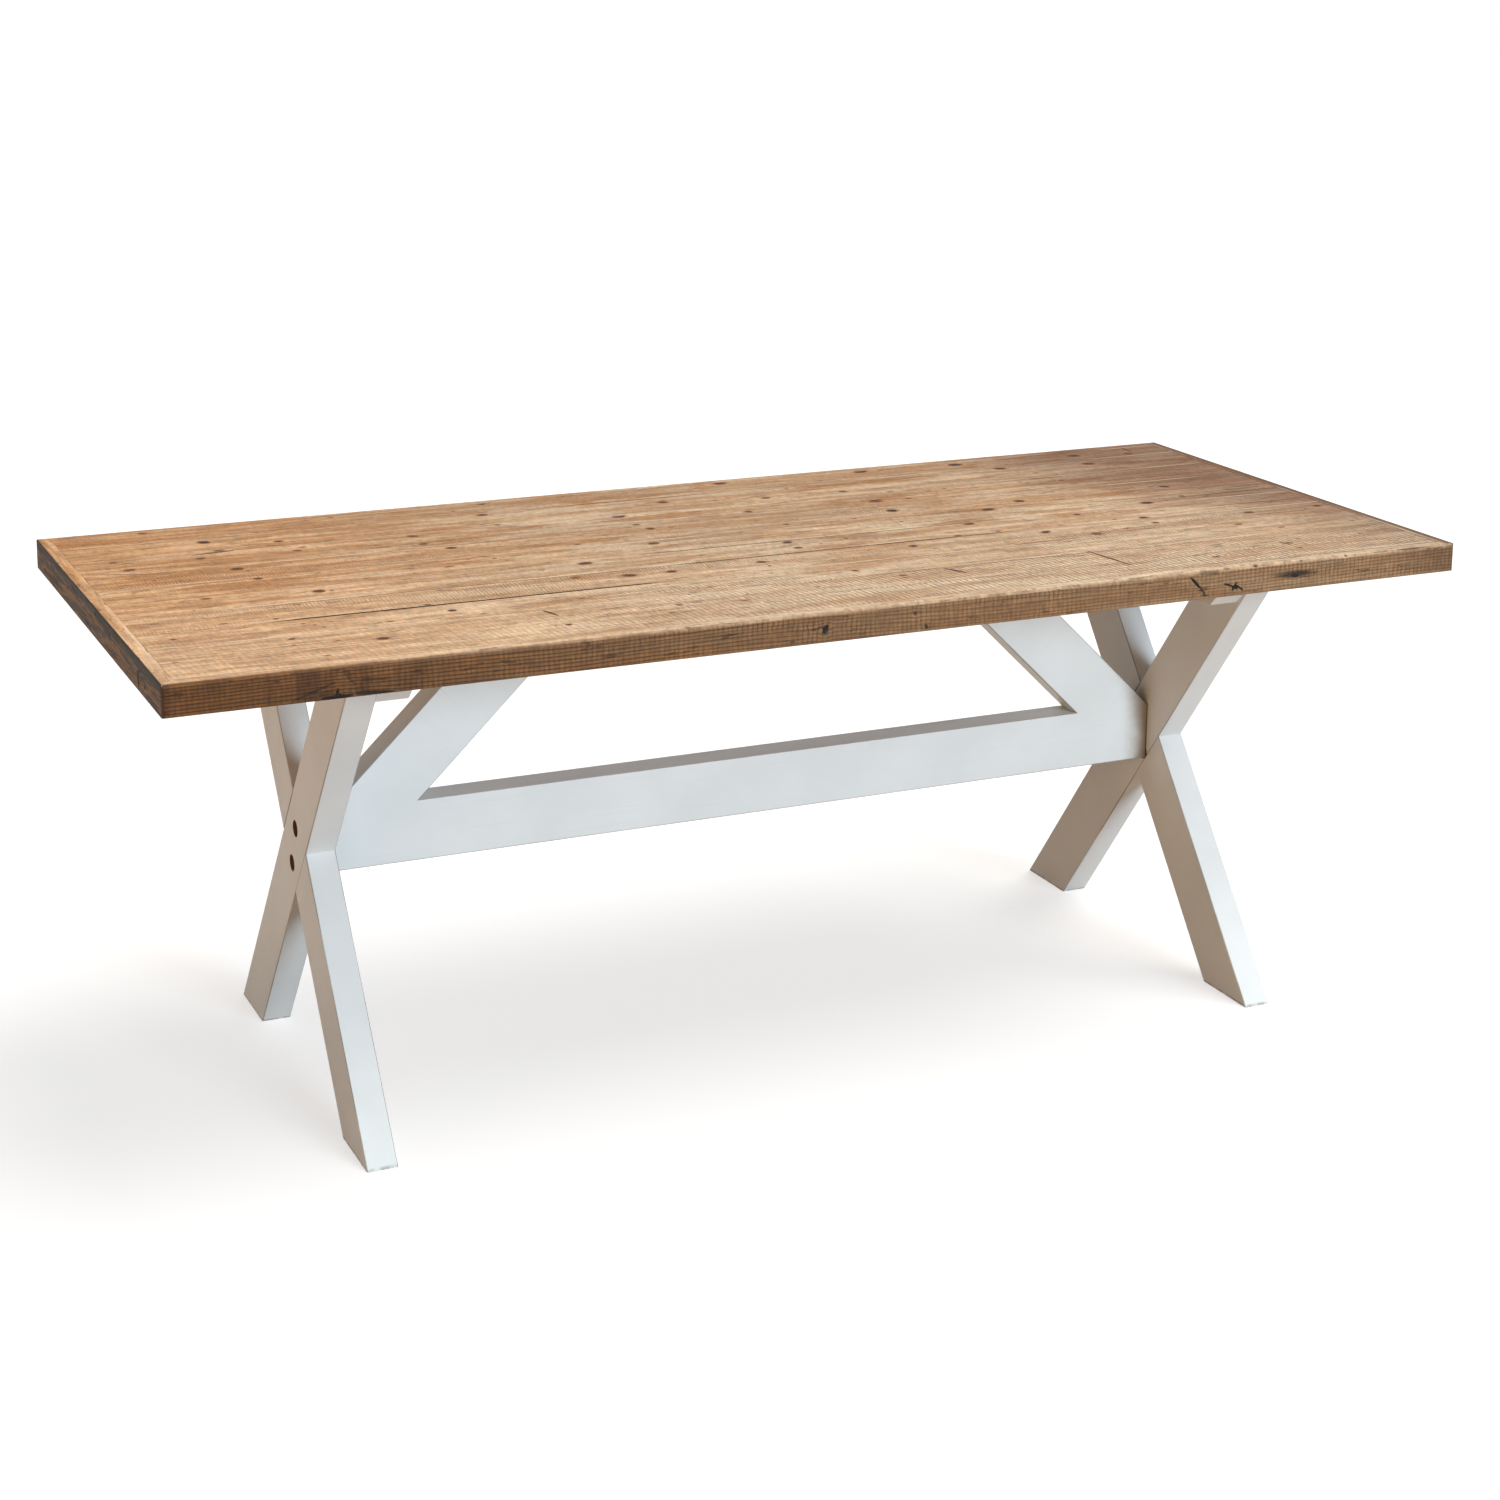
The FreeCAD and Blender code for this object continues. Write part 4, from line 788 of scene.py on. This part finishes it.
# Millimetres. What each board has of its own is listed from the back to the front
topBoards = {
    "thick": 44,
    "halfWidth": 425,  # of the whole top
    "length": 1960,
    "arris": 0.4,
    "knotDepth": 0.5,
    "checkDepth": 0.4,
    "strayMarks": 9,
    "tones": [0.34, 0.10, 0.16, 0.24, 0.06, 0.0, 0.16, 0.04, 0.14, 0.05],
    "slants": [0.05, 0.10, 0.20, 0.02, 0.16, 0.12, -0.06, 0.10, 0.14, 0.12],
    "sawPitches": [3.9, 4.2, 4.6, 5.2, 5.0, 4.6, 5.6, 7.2, 8.6, 9.0],
    # the saw marks' strength where they are most worn, and their share at the left end
    "sawLeasts": [0.3, 0.1, 0.1, 0.25, 0.1, 0.1, 0.2, 0.4, 0.85, 0.95],
    "sawLefts": [0.7, 0.7, 0.7, 0.7, 0.7, 0.7, 0.7, 0.25, 0.25, 0.25],
    # joints that stand open: number of the board behind the joint, from, to, width
    "openJoints": {1: (-237, 113, 1.2), 2: (-824, -641, 1.0), 3: (-978, -763, 1.0), 6: (-218, 441, 2.2),
                   7: (-836, -178, 4.2), 8: (33, 560, 1.0)},
}
# At the back of every board and of the front lipping. Low and high are heights above the underside
tongue = {"low": 17, "high": 27, "length": 7, "grooveDepth": 8, "slack": 0.2}

# knots: x, distance from the top's back edge, radius of the core, darkness
topKnots = [
    (125, 27, 7, 0.8), (388, 30, 7, 1.0), (-295, 26, 4, 0.8), (-843, 22, 6, 0.9), (566, 41, 7, 1.0),
    (798, 52, 7, 1.0), (898, 72, 6, 0.8), (623, 99, 6, 0.8), (-320, 101, 5, 0.8), (787, 122, 7, 0.9),
    (-770, 117, 7, 1.0), (-19, 124, 5, 0.8), (150, 158, 5, 0.6), (-664, 153, 4, 0.8), (289, 161, 5, 0.6),
    (-320, 175, 3, 0.7), (-762, 179, 5, 0.7), (-123, 192, 7, 1.0), (-923, 194, 4, 0.5), (-466, 199, 6, 0.6),
    (672, 222, 4, 0.5), (-799, 217, 4, 0.6), (-654, 223, 4, 0.6), (82, 239, 5, 0.7), (309, 246, 8, 0.7),
    (-910, 247, 6, 0.6), (-466, 253, 4, 0.7), (-119, 256, 4, 0.6), (-109, 290, 5, 0.8), (-435, 294, 5, 0.8),
    (-765, 299, 6, 0.8), (299, 320, 7, 1.0), (808, 331, 6, 0.9), (525, 336, 6, 1.0), (100, 343, 4, 0.5),
    (447, 371, 6, 0.9), (-751, 367, 4, 0.8), (-142, 382, 5, 0.7), (795, 407, 5, 0.8), (713, 426, 6, 0.9),
    (368, 450, 5, 0.9), (50, 454, 5, 0.9), (562, 457, 4, 0.8), (-847, 451, 4, 0.6), (-284, 461, 6, 0.8),
    (-690, 470, 6, 0.8), (50, 492, 4, 0.7), (649, 519, 6, 0.9), (-328, 535, 5, 0.5), (452, 545, 5, 0.9),
    (827, 550, 6, 0.6), (959, 551, 5, 0.7), (217, 549, 5, 0.8), (-39, 552, 5, 0.7), (647, 555, 4, 0.7),
    (-250, 553, 6, 0.8), (-185, 555, 5, 0.8), (520, 585, 7, 0.5), (764, 614, 4, 0.6), (-550, 643, 4, 0.9),
    (-937, 644, 3, 0.6), (66, 653, 4, 0.6), (-792, 701, 3, 0.8), (118, 705, 4, 0.5), (-249, 734, 4, 0.5),
    (-680, 745, 5, 0.8), (-154, 750, 4, 0.5), (764, 751, 4, 0.6), (-959, 754, 3, 0.7), (-428, 774, 3, 0.8),
]
# fine cracks and scratches in the top: from (x, distance from the back edge) to the same, reach, darkness
topChecks = [
    ((-804, 192), (-743, 185), 2.2, 0.8), ((-435, 691), (-425, 723), 2.4, 0.7),
    ((195, 691), (211, 726), 2.4, 0.8), ((447, 681), (461, 778), 2.2, 0.8), ((-310, 8), (-288, 23), 2.4, 0.8),
    ((913, 22), (915, 58), 2.6, 0.8), ((785, 489), (979, 492), 1.7, 0.6), ((805, 567), (980, 570), 1.5, 0.5),
    ((794, 410), (979, 407), 1.7, 0.6), ((805, 258), (970, 257), 1.5, 0.5),
    ((366, 600), (484, 596), 1.5, 0.5), ((-971, 253), (-886, 282), 1.4, 0.5),
    ((752, 742), (758, 761), 2.0, 0.7),
    ((-759, 632), (-757, 633), 1.6, 0.9), ((-746, 644), (-744, 645), 1.6, 0.9),
    ((-737, 658), (-735, 659), 1.5, 0.9), ((-722, 636), (-719, 637), 1.5, 0.8),
]


# A crack or chip is a row of round marks that thins out towards its ends, given in millimetres
def chained(start, end, reach, sink, dark):
    start, end = Vector(start) * mm, Vector(end) * mm
    count = max(1, math.ceil((end - start).length / (0.8 * reach * mm)))
    row = []
    for k in range(count + 1):
        share = 0.5 + 0.5 * math.sin(math.pi * (k + 0.5) / (count + 1))
        row.append((*start.lerp(end, k / count), reach * share, 1, 0, sink * share, dark))
    return row


draw = random.Random(5)


def makeBoards(look):
    checks = []
    for start, end, reach, dark in topChecks:
        checks += chained((*start, 0), (*end, 0), reach, look["checkDepth"], dark)
    thick, arris = look["thick"], look["arris"]
    grooveLow, grooveHigh = tongue["low"] - tongue["slack"], tongue["high"] + tongue["slack"]
    for number in range(1, len(look["tones"]) + 1):
        node = f"top_board_{number:02d}"
        low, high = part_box(node)
        width = (high.y - low.y) / mm - tongue["length"]
        fromBack = look["halfWidth"] - (low.y / mm + width), look["halfWidth"] - low.y / mm
        reach = width + tongue["length"]
        corners = [
            (0, 0, 12), (width, 0, 9), (width, tongue["low"], 8), (reach, tongue["low"], 6),
            (reach, tongue["high"], 8), (width, tongue["high"], 4), (width, thick - arris, 0),
            (width - arris, thick, 2.9), (arris, thick, 0), (0, thick - arris, 4), (0, grooveHigh, 8),
            (tongue["grooveDepth"], grooveHigh, 6), (tongue["grooveDepth"], grooveLow, 8), (0, grooveLow, 9),
        ]
        marks = []
        for x, behind, core, dark in topKnots:
            if fromBack[0] < behind < fromBack[1]:
                marks.append((x * mm, (fromBack[1] - behind) * mm, thick * mm, core, draw.uniform(1.0, 1.5),
                              draw.uniform(-0.3, 0.3), look["knotDepth"] * dark, dark))
        for x, behind, _, *rest in checks:
            if fromBack[0] < behind / mm < fromBack[1]:
                marks.append((x, fromBack[1] * mm - behind, thick * mm, *rest))
        for _ in range(look["strayMarks"]):
            marks.append((draw.uniform(-0.96, 0.96), draw.uniform(6, width - 6) * mm, thick * mm,
                          draw.uniform(1.2, 2.6), draw.uniform(1, 2.5), 0, 0.2, draw.uniform(0.3, 0.8)))
        gapFrom, gapTo, gapWidth = look["openJoints"].get(number, (0, 0, 0))
        k = number - 1
        piece = sweepTimber(
            "board_" + f"{number:02d}", corners, marks, Matrix.Translation((0, low.y, low.z)),
            {"Length": look["length"] * mm, "Width": width * mm, "Mitre": 0.0, "Outer face": 0.0,
             "Corner radius": 0.0, "Seed": float(number), "Tone": look["tones"][k],
             "Pith": (0, draw.uniform(-40, width + 40) * mm, draw.uniform(-90, -15) * mm),
             "Saw slant": (0, look["slants"][k], 0), "Saw pitch": look["sawPitches"][k] * mm,
             "Saw least": look["sawLeasts"][k], "Saw left": look["sawLefts"][k],
             "Gap from": gapFrom * mm, "Gap to": gapTo * mm, "Gap width": gapWidth * mm,
             "Weather": 0.0, "Worn": 0.0, "Joint dirt": 0.6})
        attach(piece, "root")
        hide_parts(node)
    print("ten boards made")


makeBoards(topBoards)


# Four lippings, mitred round the edge, in millimetres
lipping = {
    "width": 20,
    "backArris": 0.3,  # along the joint with the boards
    "arrisSteps": 5,
    "cornerRadius": 4,
    "underside": 706,
    "pith": (0, 12, -160),
    "sawPitch": 7.4,
    "sawSlant": 0.1,
    "sawLeast": 0.55,
    "chipsAt": (2, 42),  # behind the front face, and above the underside
    "strayMarks": 12,
    # middle is of the outer face, worn is the wear of the arris and the strength of its painted highlight,
    # and gap is
    # where the joint stands open: from, to, width
    "sides": {
        "front": {"length": 2000, "turn": 0, "middle": (0, -425), "tongued": True, "arris": 6, "seed": 21.0,
                  "tone": 0.0, "weather": 0.0, "worn": 1.0, "dirt": 0.7, "gap": (500, 1040, 1.4)},
        "back": {"length": 2000, "turn": 180, "middle": (0, 425), "tongued": False, "arris": 3, "seed": 22.0,
                 "tone": 0.15, "weather": 0.7, "worn": -0.6, "dirt": 0.6, "gap": (0, 0, 0)},
        "left": {"length": 850, "turn": -90, "middle": (-1000, 0), "tongued": False, "arris": 3, "seed": 23.0,
                 "tone": 0.0, "weather": 1.0, "worn": -1.0, "dirt": 0.4, "gap": (0, 0, 0)},
        "right": {"length": 850, "turn": 90, "middle": (1000, 0), "tongued": False, "arris": 3, "seed": 24.0,
                  "tone": 0.3, "weather": 0.8, "worn": -1.0, "dirt": 1.0, "gap": (-430, 430, 1.2)},
    },
}

# on the front face: from (x, height) to (x, height), reach, sink, darkness
frontMarks = [
    ((-834, 3), (-777, 22), 1.5, 0.5, 0.7), ((-793, 2), (-754, 3), 2.6, 2.6, 1.0),
    ((-775, 5), (-773, 11), 2.0, 2.0, 1.0), ((-748, 4), (-700, 2), 2.2, 1.4, 0.9),
    ((-765, 36), (-756, 30), 3.4, 0.6, 0.4), ((-762, 30), (-750, 17), 1.8, 0.4, 0.5),
    ((-79, 16), (-76, 22), 4.4, 1.6, 1.0),
    ((62, 28), (63, 27), 2.8, 0.4, 0.7), ((80, 8), (81, 6), 3.0, 0.6, 0.8),
    ((521, 34), (537, 18), 2.3, 2.0, 1.0), ((537, 18), (546, 8), 1.6, 1.0, 0.8),
    ((541, 6), (552, 5), 1.6, 0.8, 0.7), ((594, 14), (606, 12), 3.4, 2.4, 1.0),
    ((579, 20), (594, 15), 1.6, 1.2, 1.0), ((594, 8), (601, 20), 1.8, 1.2, 1.0),
    ((606, 12), (613, 7), 1.8, 1.0, 0.9),
    ((700, 21), (711, 20), 3.0, 0.6, 0.9), ((-840, 36), (-840, 29), 1.5, 0.9, 0.0),
]
# cracks in the left end, the same way
leftMarks = [((293, 1), (290, 26), 3.2, 1.5, 1.0), ((-51, 12), (-17, 4), 2.6, 1.0, 1.0),
             ((286, 24), (305, 30), 2.2, 1.0, 0.9)]
# chips out of the front arris: from x to x, reach, sink, darkness
arrisChips = [
    (536, 546, 2.4, 1.4, 0.35), (579, 588, 2.2, 1.2, 0.5), (632, 637, 2.4, 1.4, 0.75),
    (645, 651, 1.6, 0.8, 0.4), (715, 718, 1.7, 0.8, 0.6), (796, 799, 1.7, 0.8, 0.8),
    (850, 877, 1.4, 0.8, 0.4), (893, 944, 1.5, 0.9, 0.7), (-553, -532, 2.5, 0.8, 0.1),
    (-290, -269, 3.0, 0.8, 0.1), (227, 246, 3.0, 0.8, 0.1), (27, 37, 2.5, 0.7, 0.1),
]


# The section of a lipping, from its outer face to its joint with the boards
def lippingCorners(look, arris, tongued):
    width, thick, back = look["width"], topBoards["thick"], look["backArris"]
    reach, slack = width - tongue["grooveDepth"], tongue["slack"]
    if tongued:
        reach, slack = width + tongue["length"], 0
    low, high = tongue["low"] - slack, tongue["high"] + slack
    corners = [(0, 0, 10), (width, 0, 9), (width, low, 8), (reach, low, 6), (reach, high, 8),
               (width, high, 4), (width, thick - back, 0), (width - back, thick, 2.9)]
    for step in range(look["arrisSteps"] + 1):
        angle = step / look["arrisSteps"] * math.pi / 2
        corners.append((arris - arris * math.sin(angle), thick - arris + arris * math.cos(angle), 0))
    corners[-1] = (0, thick - arris, 2.4)
    return corners


def makeLippings(look):
    inset, height = look["chipsAt"]
    cracks = {"front": frontMarks, "left": leftMarks}
    for name, side in look["sides"].items():
        marks = []
        for start, end, *rest in cracks.get(name, []):
            marks += chained((start[0], 0, start[1]), (end[0], 0, end[1]), *rest)
        if name == "front":
            for start, end, *rest in arrisChips:
                marks += chained((start, inset, height), (end, inset, height), *rest)
        else:
            for _ in range(look["strayMarks"]):
                marks.append((draw.uniform(-0.45, 0.45) * side["length"] * mm, 0, draw.uniform(6, 40) * mm,
                              draw.uniform(1.5, 4), draw.uniform(1, 4), draw.uniform(-0.5, 0.5),
                              draw.uniform(0.3, 1.5), draw.uniform(0.3, 0.8)))
        place = Matrix.Translation(Vector((*side["middle"], look["underside"])) * mm)
        gapFrom, gapTo, gapWidth = side["gap"]
        piece = sweepTimber(
            "edge_" + name, lippingCorners(look, side["arris"], side["tongued"]), marks,
            place @ Matrix.Rotation(math.radians(side["turn"]), 4, "Z"),
            {"Length": side["length"] * mm, "Width": look["width"] * mm, "Mitre": 1.0, "Outer face": 1.0,
             "Corner radius": look["cornerRadius"] * mm, "Seed": side["seed"], "Tone": side["tone"],
             "Pith": [part * mm for part in look["pith"]], "Saw slant": (0, look["sawSlant"], 0),
             "Saw pitch": look["sawPitch"] * mm, "Saw least": look["sawLeast"], "Saw left": 1.0,
             "Gap from": gapFrom * mm, "Gap to": gapTo * mm, "Gap width": gapWidth * mm,
             "Weather": side["weather"], "Worn": side["worn"], "Joint dirt": side["dirt"]})
        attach(piece, "root")
        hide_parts("lipping_" + name)
    print("four lippings made")


makeLippings(lipping)


# Planed pine under satin water-based paint, which lies smooth with a faint brushed grain. It is
# rubbed and dirty along the arrises, carries a painted shadow where the stretcher and braces meet
# the legs, and the counterbores were left as bare wood.
satinPaint = {
    "paint": "#e4e8e8",
    "shade": "#d8dcdc",
    # a dark tint for the rubbed arrises and for the lowest few millimetres of the feet
    "arrisAndFootDark": "#6f6558",
    # painted shadow next to the legs on the ends of the stretcher and braces, strongest at the right
    "jointDirt": "#8f7f68",
    "bareWood": "#4a2f1a",
    "boreWood": "#70482a",
    "baseMiddle": 18,  # millimetres to the right of the middle of the top
    "bores": [(-8, 389), (15, 329)],  # of the left pair: y and height
    "raggedBy": 12,  # millimetres by which the border of the painted shadow at the joints moves in and out
    "brushMarks": (0.006, 0.35, 0.35),  # repeats a millimetre, along the member and across it
    "clouds": 6.0,  # repeats a metre
    "specks": 90.0,
    "speckRelief": 0.25,
    "roughness": (0.38, 0.5),
    "relief": (0.15, 0.4),
    "constants": {"IOR": 1.48},
    # soft steps: what is read, from where to where, and what it becomes at either end. Lengths are in
    # millimetres, along is from the middle of the base, and flat is how squarely a spot looks outwards
    "steps": {
        "clouded": ("cloud", 0.35, 0.75, 0.0, 0.7),
        "brushed": ("brush", 0.55, 0.75, 0.0, 0.35),
        "arris": ("flat", 0.80, 0.985, 0.75, 0.0),
        "rubbedPatch": ("cloud", 0.35, 0.6, 0.45, 1.0),
        # darker within a few millimetres of the floor
        "nearFloor": ("z", 1.0, 5.0, 0.6, 0.0),
        "speckled": ("speck", 0.3, 0.6, 0.0, 1.0),
        # painted shadow on the stretcher and braces next to the legs, fainter at the left end
        "legShadow": ("ragged", 651.0, 701.6, 0.0, 0.85),
        "shadowFadesLeft": ("x", -100.0, 100.0, 0.2, 1.0),
        "atButt": ("along", 695.0, 695.6, 0.0, 0.9),
        "inBore": ("fromBore", 12.7, 12.9, 1.0, 0.0),
    },
    # what lies over the paint: the steps that say how much, and the tint
    "layers": [(("clouded",), "shade"), (("brushed",), "shade"), (("arris", "rubbedPatch"), "arrisAndFootDark"),
               # the feet darker near the floor
               (("nearFloor", "speckled"), "arrisAndFootDark")],
    # painted shadow next to the legs, and bare wood in the butt joint
    "jointLayers": [(("legShadow", "shadowFadesLeft"), "jointDirt"), (("atButt",), "bareWood")],
    "boreLayers": [(("inBore",), "boreWood")],
}


# across: the directions that the member's own faces look in
# bored: 1 for the left pair of legs, -1 for the right pair, which is turned half round
def makeSatinPaint(name, look, grain, across, jointed=False, bored=0):
    material, tree = newMaterial(name)
    values = {}
    spot = add(tree, "ShaderNodeTexCoord").outputs["Object"]
    place = add(tree, "ShaderNodeVectorMath", {0: spot, "Scale": 1 / mm}, operation="SCALE")
    values["x"], values["y"], values["z"] = add(tree, "ShaderNodeSeparateXYZ", {0: place}).outputs
    turned = add(tree, "ShaderNodeMapping", {"Vector": place, "Rotation": grain})
    long = add(tree, "ShaderNodeVectorMath", {0: turned, 1: look["brushMarks"]}, operation="MULTIPLY")
    values["brush"] = add(tree, "ShaderNodeTexNoise", {"Vector": long, "Scale": 1.0, "Detail": 4.0})
    for label, repeats in (("cloud", look["clouds"]), ("speck", look["specks"])):
        values[label] = add(tree, "ShaderNodeTexNoise", {"Vector": spot, "Scale": repeats, "Detail": 3.0})

    # a surface that looks in none of the member's own directions is one of its rounded arrises
    normal = add(tree, "ShaderNodeNewGeometry").outputs["Normal"]
    values["flat"] = 0.0
    for direction in across:
        facing = add(tree, "ShaderNodeVectorMath", {0: normal, 1: direction}, operation="DOT_PRODUCT")
        facing = add(tree, "ShaderNodeMath", {0: facing.outputs["Value"]}, operation="ABSOLUTE")
        values["flat"] = add(tree, "ShaderNodeMath", {0: values["flat"], 1: facing}, operation="MAXIMUM")

    layers = list(look["layers"])
    if jointed:
        # members that meet the legs get the painted shadow next to them and the bare butt joint
        along = add(tree, "ShaderNodeMath", {0: values["x"], 1: look["baseMiddle"]}, operation="SUBTRACT")
        values["along"] = add(tree, "ShaderNodeMath", {0: along}, operation="ABSOLUTE")
        values["ragged"] = add(tree, "ShaderNodeMath", {0: values["speck"], 1: look["raggedBy"],
                                                        2: values["along"]}, operation="MULTIPLY_ADD")
        layers += look["jointLayers"]
    if bored:
        level = add(tree, "ShaderNodeCombineXYZ", {1: values["y"], 2: values["z"]})
        values["fromBore"] = 1000.0  # farther than any part of a leg
        for y, z in look["bores"]:
            far = add(tree, "ShaderNodeVectorMath", {0: level, 1: (0, bored * y, z)}, operation="DISTANCE")
            values["fromBore"] = add(tree, "ShaderNodeMath", {0: values["fromBore"], 1: far.outputs["Value"]},
                                     operation="MINIMUM")
        layers += look["boreLayers"]

    paint = colour(look["paint"])
    for labels, tint in layers:
        share = 1.0
        for label in labels:
            read, low, high, start, end = look["steps"][label]
            step = add(tree, "ShaderNodeMapRange", {0: values[read], 1: low, 2: high, 3: start, 4: end},
                       interpolation_type="SMOOTHSTEP")
            share = add(tree, "ShaderNodeMath", {0: share, 1: step}, operation="MULTIPLY")
        paint = add(tree, "ShaderNodeMix", {0: share, 6: paint, 7: colour(look[tint])},
                    data_type="RGBA").outputs[2]

    low, high = look["roughness"]
    rough = add(tree, "ShaderNodeMapRange", {0: values["brush"], 1: 0.3, 2: 0.7, 3: low, 4: high})
    relief = add(tree, "ShaderNodeMath", {0: values["speck"], 1: look["speckRelief"], 2: values["brush"]},
                 operation="MULTIPLY_ADD")
    finishMaterial(tree, look, paint, rough, relief)
    return material


def wearMaterial(node, material):
    mesh = cadNodes[node].data
    mesh.materials.clear()
    mesh.materials.append(material)


# The run and the rise of the members, in millimetres. The lean of a leg is 1 where its foot is at
# the front and its top at the back, and -1 the other way
base = {
    "leg": (280.5, 367),
    "brace": (300, 293),
    "leans": {"leg_left_rear": (-1, 1), "leg_left_front": (1, 1),
              "leg_right_front": (1, -1), "leg_right_rear": (-1, -1)},  # lean, and which way it is bored
    "bevel": 0.707,  # the cleats' ends slope at 45 degrees
}


def paintBase(look):
    name = "satin white paint, "
    axes = [(1, 0, 0), (0, 1, 0), (0, 0, 1)]
    run, rise = look["leg"]
    length = math.hypot(run, rise)
    for node, (lean, bored) in look["leans"].items():
        grain = (-lean * math.atan2(run, rise), lean * math.radians(90), 0)
        wide = (0, rise / length, -lean * run / length)
        wearMaterial(node, makeSatinPaint(name + node, satinPaint, grain, [(1, 0, 0), wide, (0, 0, 1)],
                                          bored=bored))

    wearMaterial("stretcher", makeSatinPaint(name + "stretcher", satinPaint, (0, 0, 0), axes, jointed=True))
    run, rise = look["brace"]
    length = math.hypot(run, rise)
    for node, side in (("brace_left", -1), ("brace_right", 1)):
        slope = (side * rise / length, 0, run / length)
        grain = (0, side * math.atan2(rise, run), 0)
        wearMaterial(node, makeSatinPaint(name + node, satinPaint, grain, [slope, (0, 1, 0), (0, 0, 1)],
                                          jointed=True))
    bevel = look["bevel"]
    for node in ("cleat_left", "cleat_right"):
        wearMaterial(node, makeSatinPaint(name + node, satinPaint, (0, 0, math.radians(90)),
                                          axes + [(0, bevel, bevel), (0, bevel, -bevel)]))
    print("base painted")


paintBase(base)


# Zinc-plated steel. Plating is a dull blue-grey with a fine crystal in it, and yellows in patches
zincSteel = {
    "bright": "#c3c7ca",
    "dull": "#8f9294",
    "stained": "#8b7f66",
    "crystals": 900.0,  # repeats a metre, so crystals are about a millimetre across
    "patches": 160.0,
    "roughness": (0.32, 0.55),
    "relief": (0.05, 0.5),
    "constants": {"Metallic": 1.0},
}


def makeZincSteel(name, look):
    material, tree = newMaterial(name)
    spot = add(tree, "ShaderNodeTexCoord").outputs["Object"]
    crystal = add(tree, "ShaderNodeTexVoronoi", {"Vector": spot, "Scale": look["crystals"]})
    patch = add(tree, "ShaderNodeTexNoise", {"Vector": spot, "Scale": look["patches"], "Detail": 4.0})
    metal = add(tree, "ShaderNodeMix", {0: crystal.outputs["Distance"], 6: colour(look["bright"]),
                                        7: colour(look["dull"])}, data_type="RGBA").outputs[2]
    stain = add(tree, "ShaderNodeMapRange", {0: patch, 1: 0.52, 2: 0.7, 4: 0.6})
    metal = add(tree, "ShaderNodeMix", {0: stain, 6: metal, 7: colour(look["stained"])},
                data_type="RGBA").outputs[2]
    low, high = look["roughness"]
    rough = add(tree, "ShaderNodeMapRange", {0: patch, 1: 0.3, 2: 0.7, 3: low, 4: high})
    finishMaterial(tree, look, metal, rough, patch)
    return material


# Beech is pink-brown and even, flecked all over with short darker rays
beech = {
    "pale": "#d9b48c",
    "tan": "#c79a6e",
    "fleck": "#a0703f",
    "fibres": (60, 900, 900),  # repeats a metre, along the dowel and across it
    "roughness": (0.55, 0.7),
    "relief": (0.1, 0.5),
    "constants": {"IOR": 1.5},
}


def makeBeech(name, look, grain):
    material, tree = newMaterial(name)
    spot = add(tree, "ShaderNodeTexCoord").outputs["Object"]
    turned = add(tree, "ShaderNodeMapping", {"Vector": spot, "Rotation": grain, "Scale": look["fibres"]})
    fibre = add(tree, "ShaderNodeTexNoise", {"Vector": turned, "Scale": 1.0, "Detail": 4.0})
    fleck = add(tree, "ShaderNodeTexVoronoi", {"Vector": turned, "Scale": 2.0})
    wood = add(tree, "ShaderNodeMix", {0: fibre, 6: colour(look["pale"]), 7: colour(look["tan"])},
               data_type="RGBA").outputs[2]
    ray = add(tree, "ShaderNodeMapRange", {0: fleck, 1: 0.1, 2: 0.25, 3: 0.7, 4: 0.0})
    wood = add(tree, "ShaderNodeMix", {0: ray, 6: wood, 7: colour(look["fleck"])},
               data_type="RGBA").outputs[2]
    low, high = look["roughness"]
    rough = add(tree, "ShaderNodeMapRange", {0: fibre, 1: 0.3, 2: 0.7, 3: low, 4: high})
    finishMaterial(tree, look, wood, rough, fibre)
    return material


zincMaterial = makeZincSteel("zinc-plated steel", zincSteel)
for node in ("stretcher_bolts", "lap_coach_screws", "bolt_washers", "barrel_nuts", "brace_screws",
             "cleat_top_screws", "cleat_leg_screws"):
    wearMaterial(node, zincMaterial)
wearMaterial("stretcher_dowels", makeBeech("beech dowel rod, level", beech, (0, 0, 0)))
wearMaterial("brace_dowels", makeBeech("beech dowel rod, upright", beech, (0, math.radians(90), 0)))
print("hardware finished")
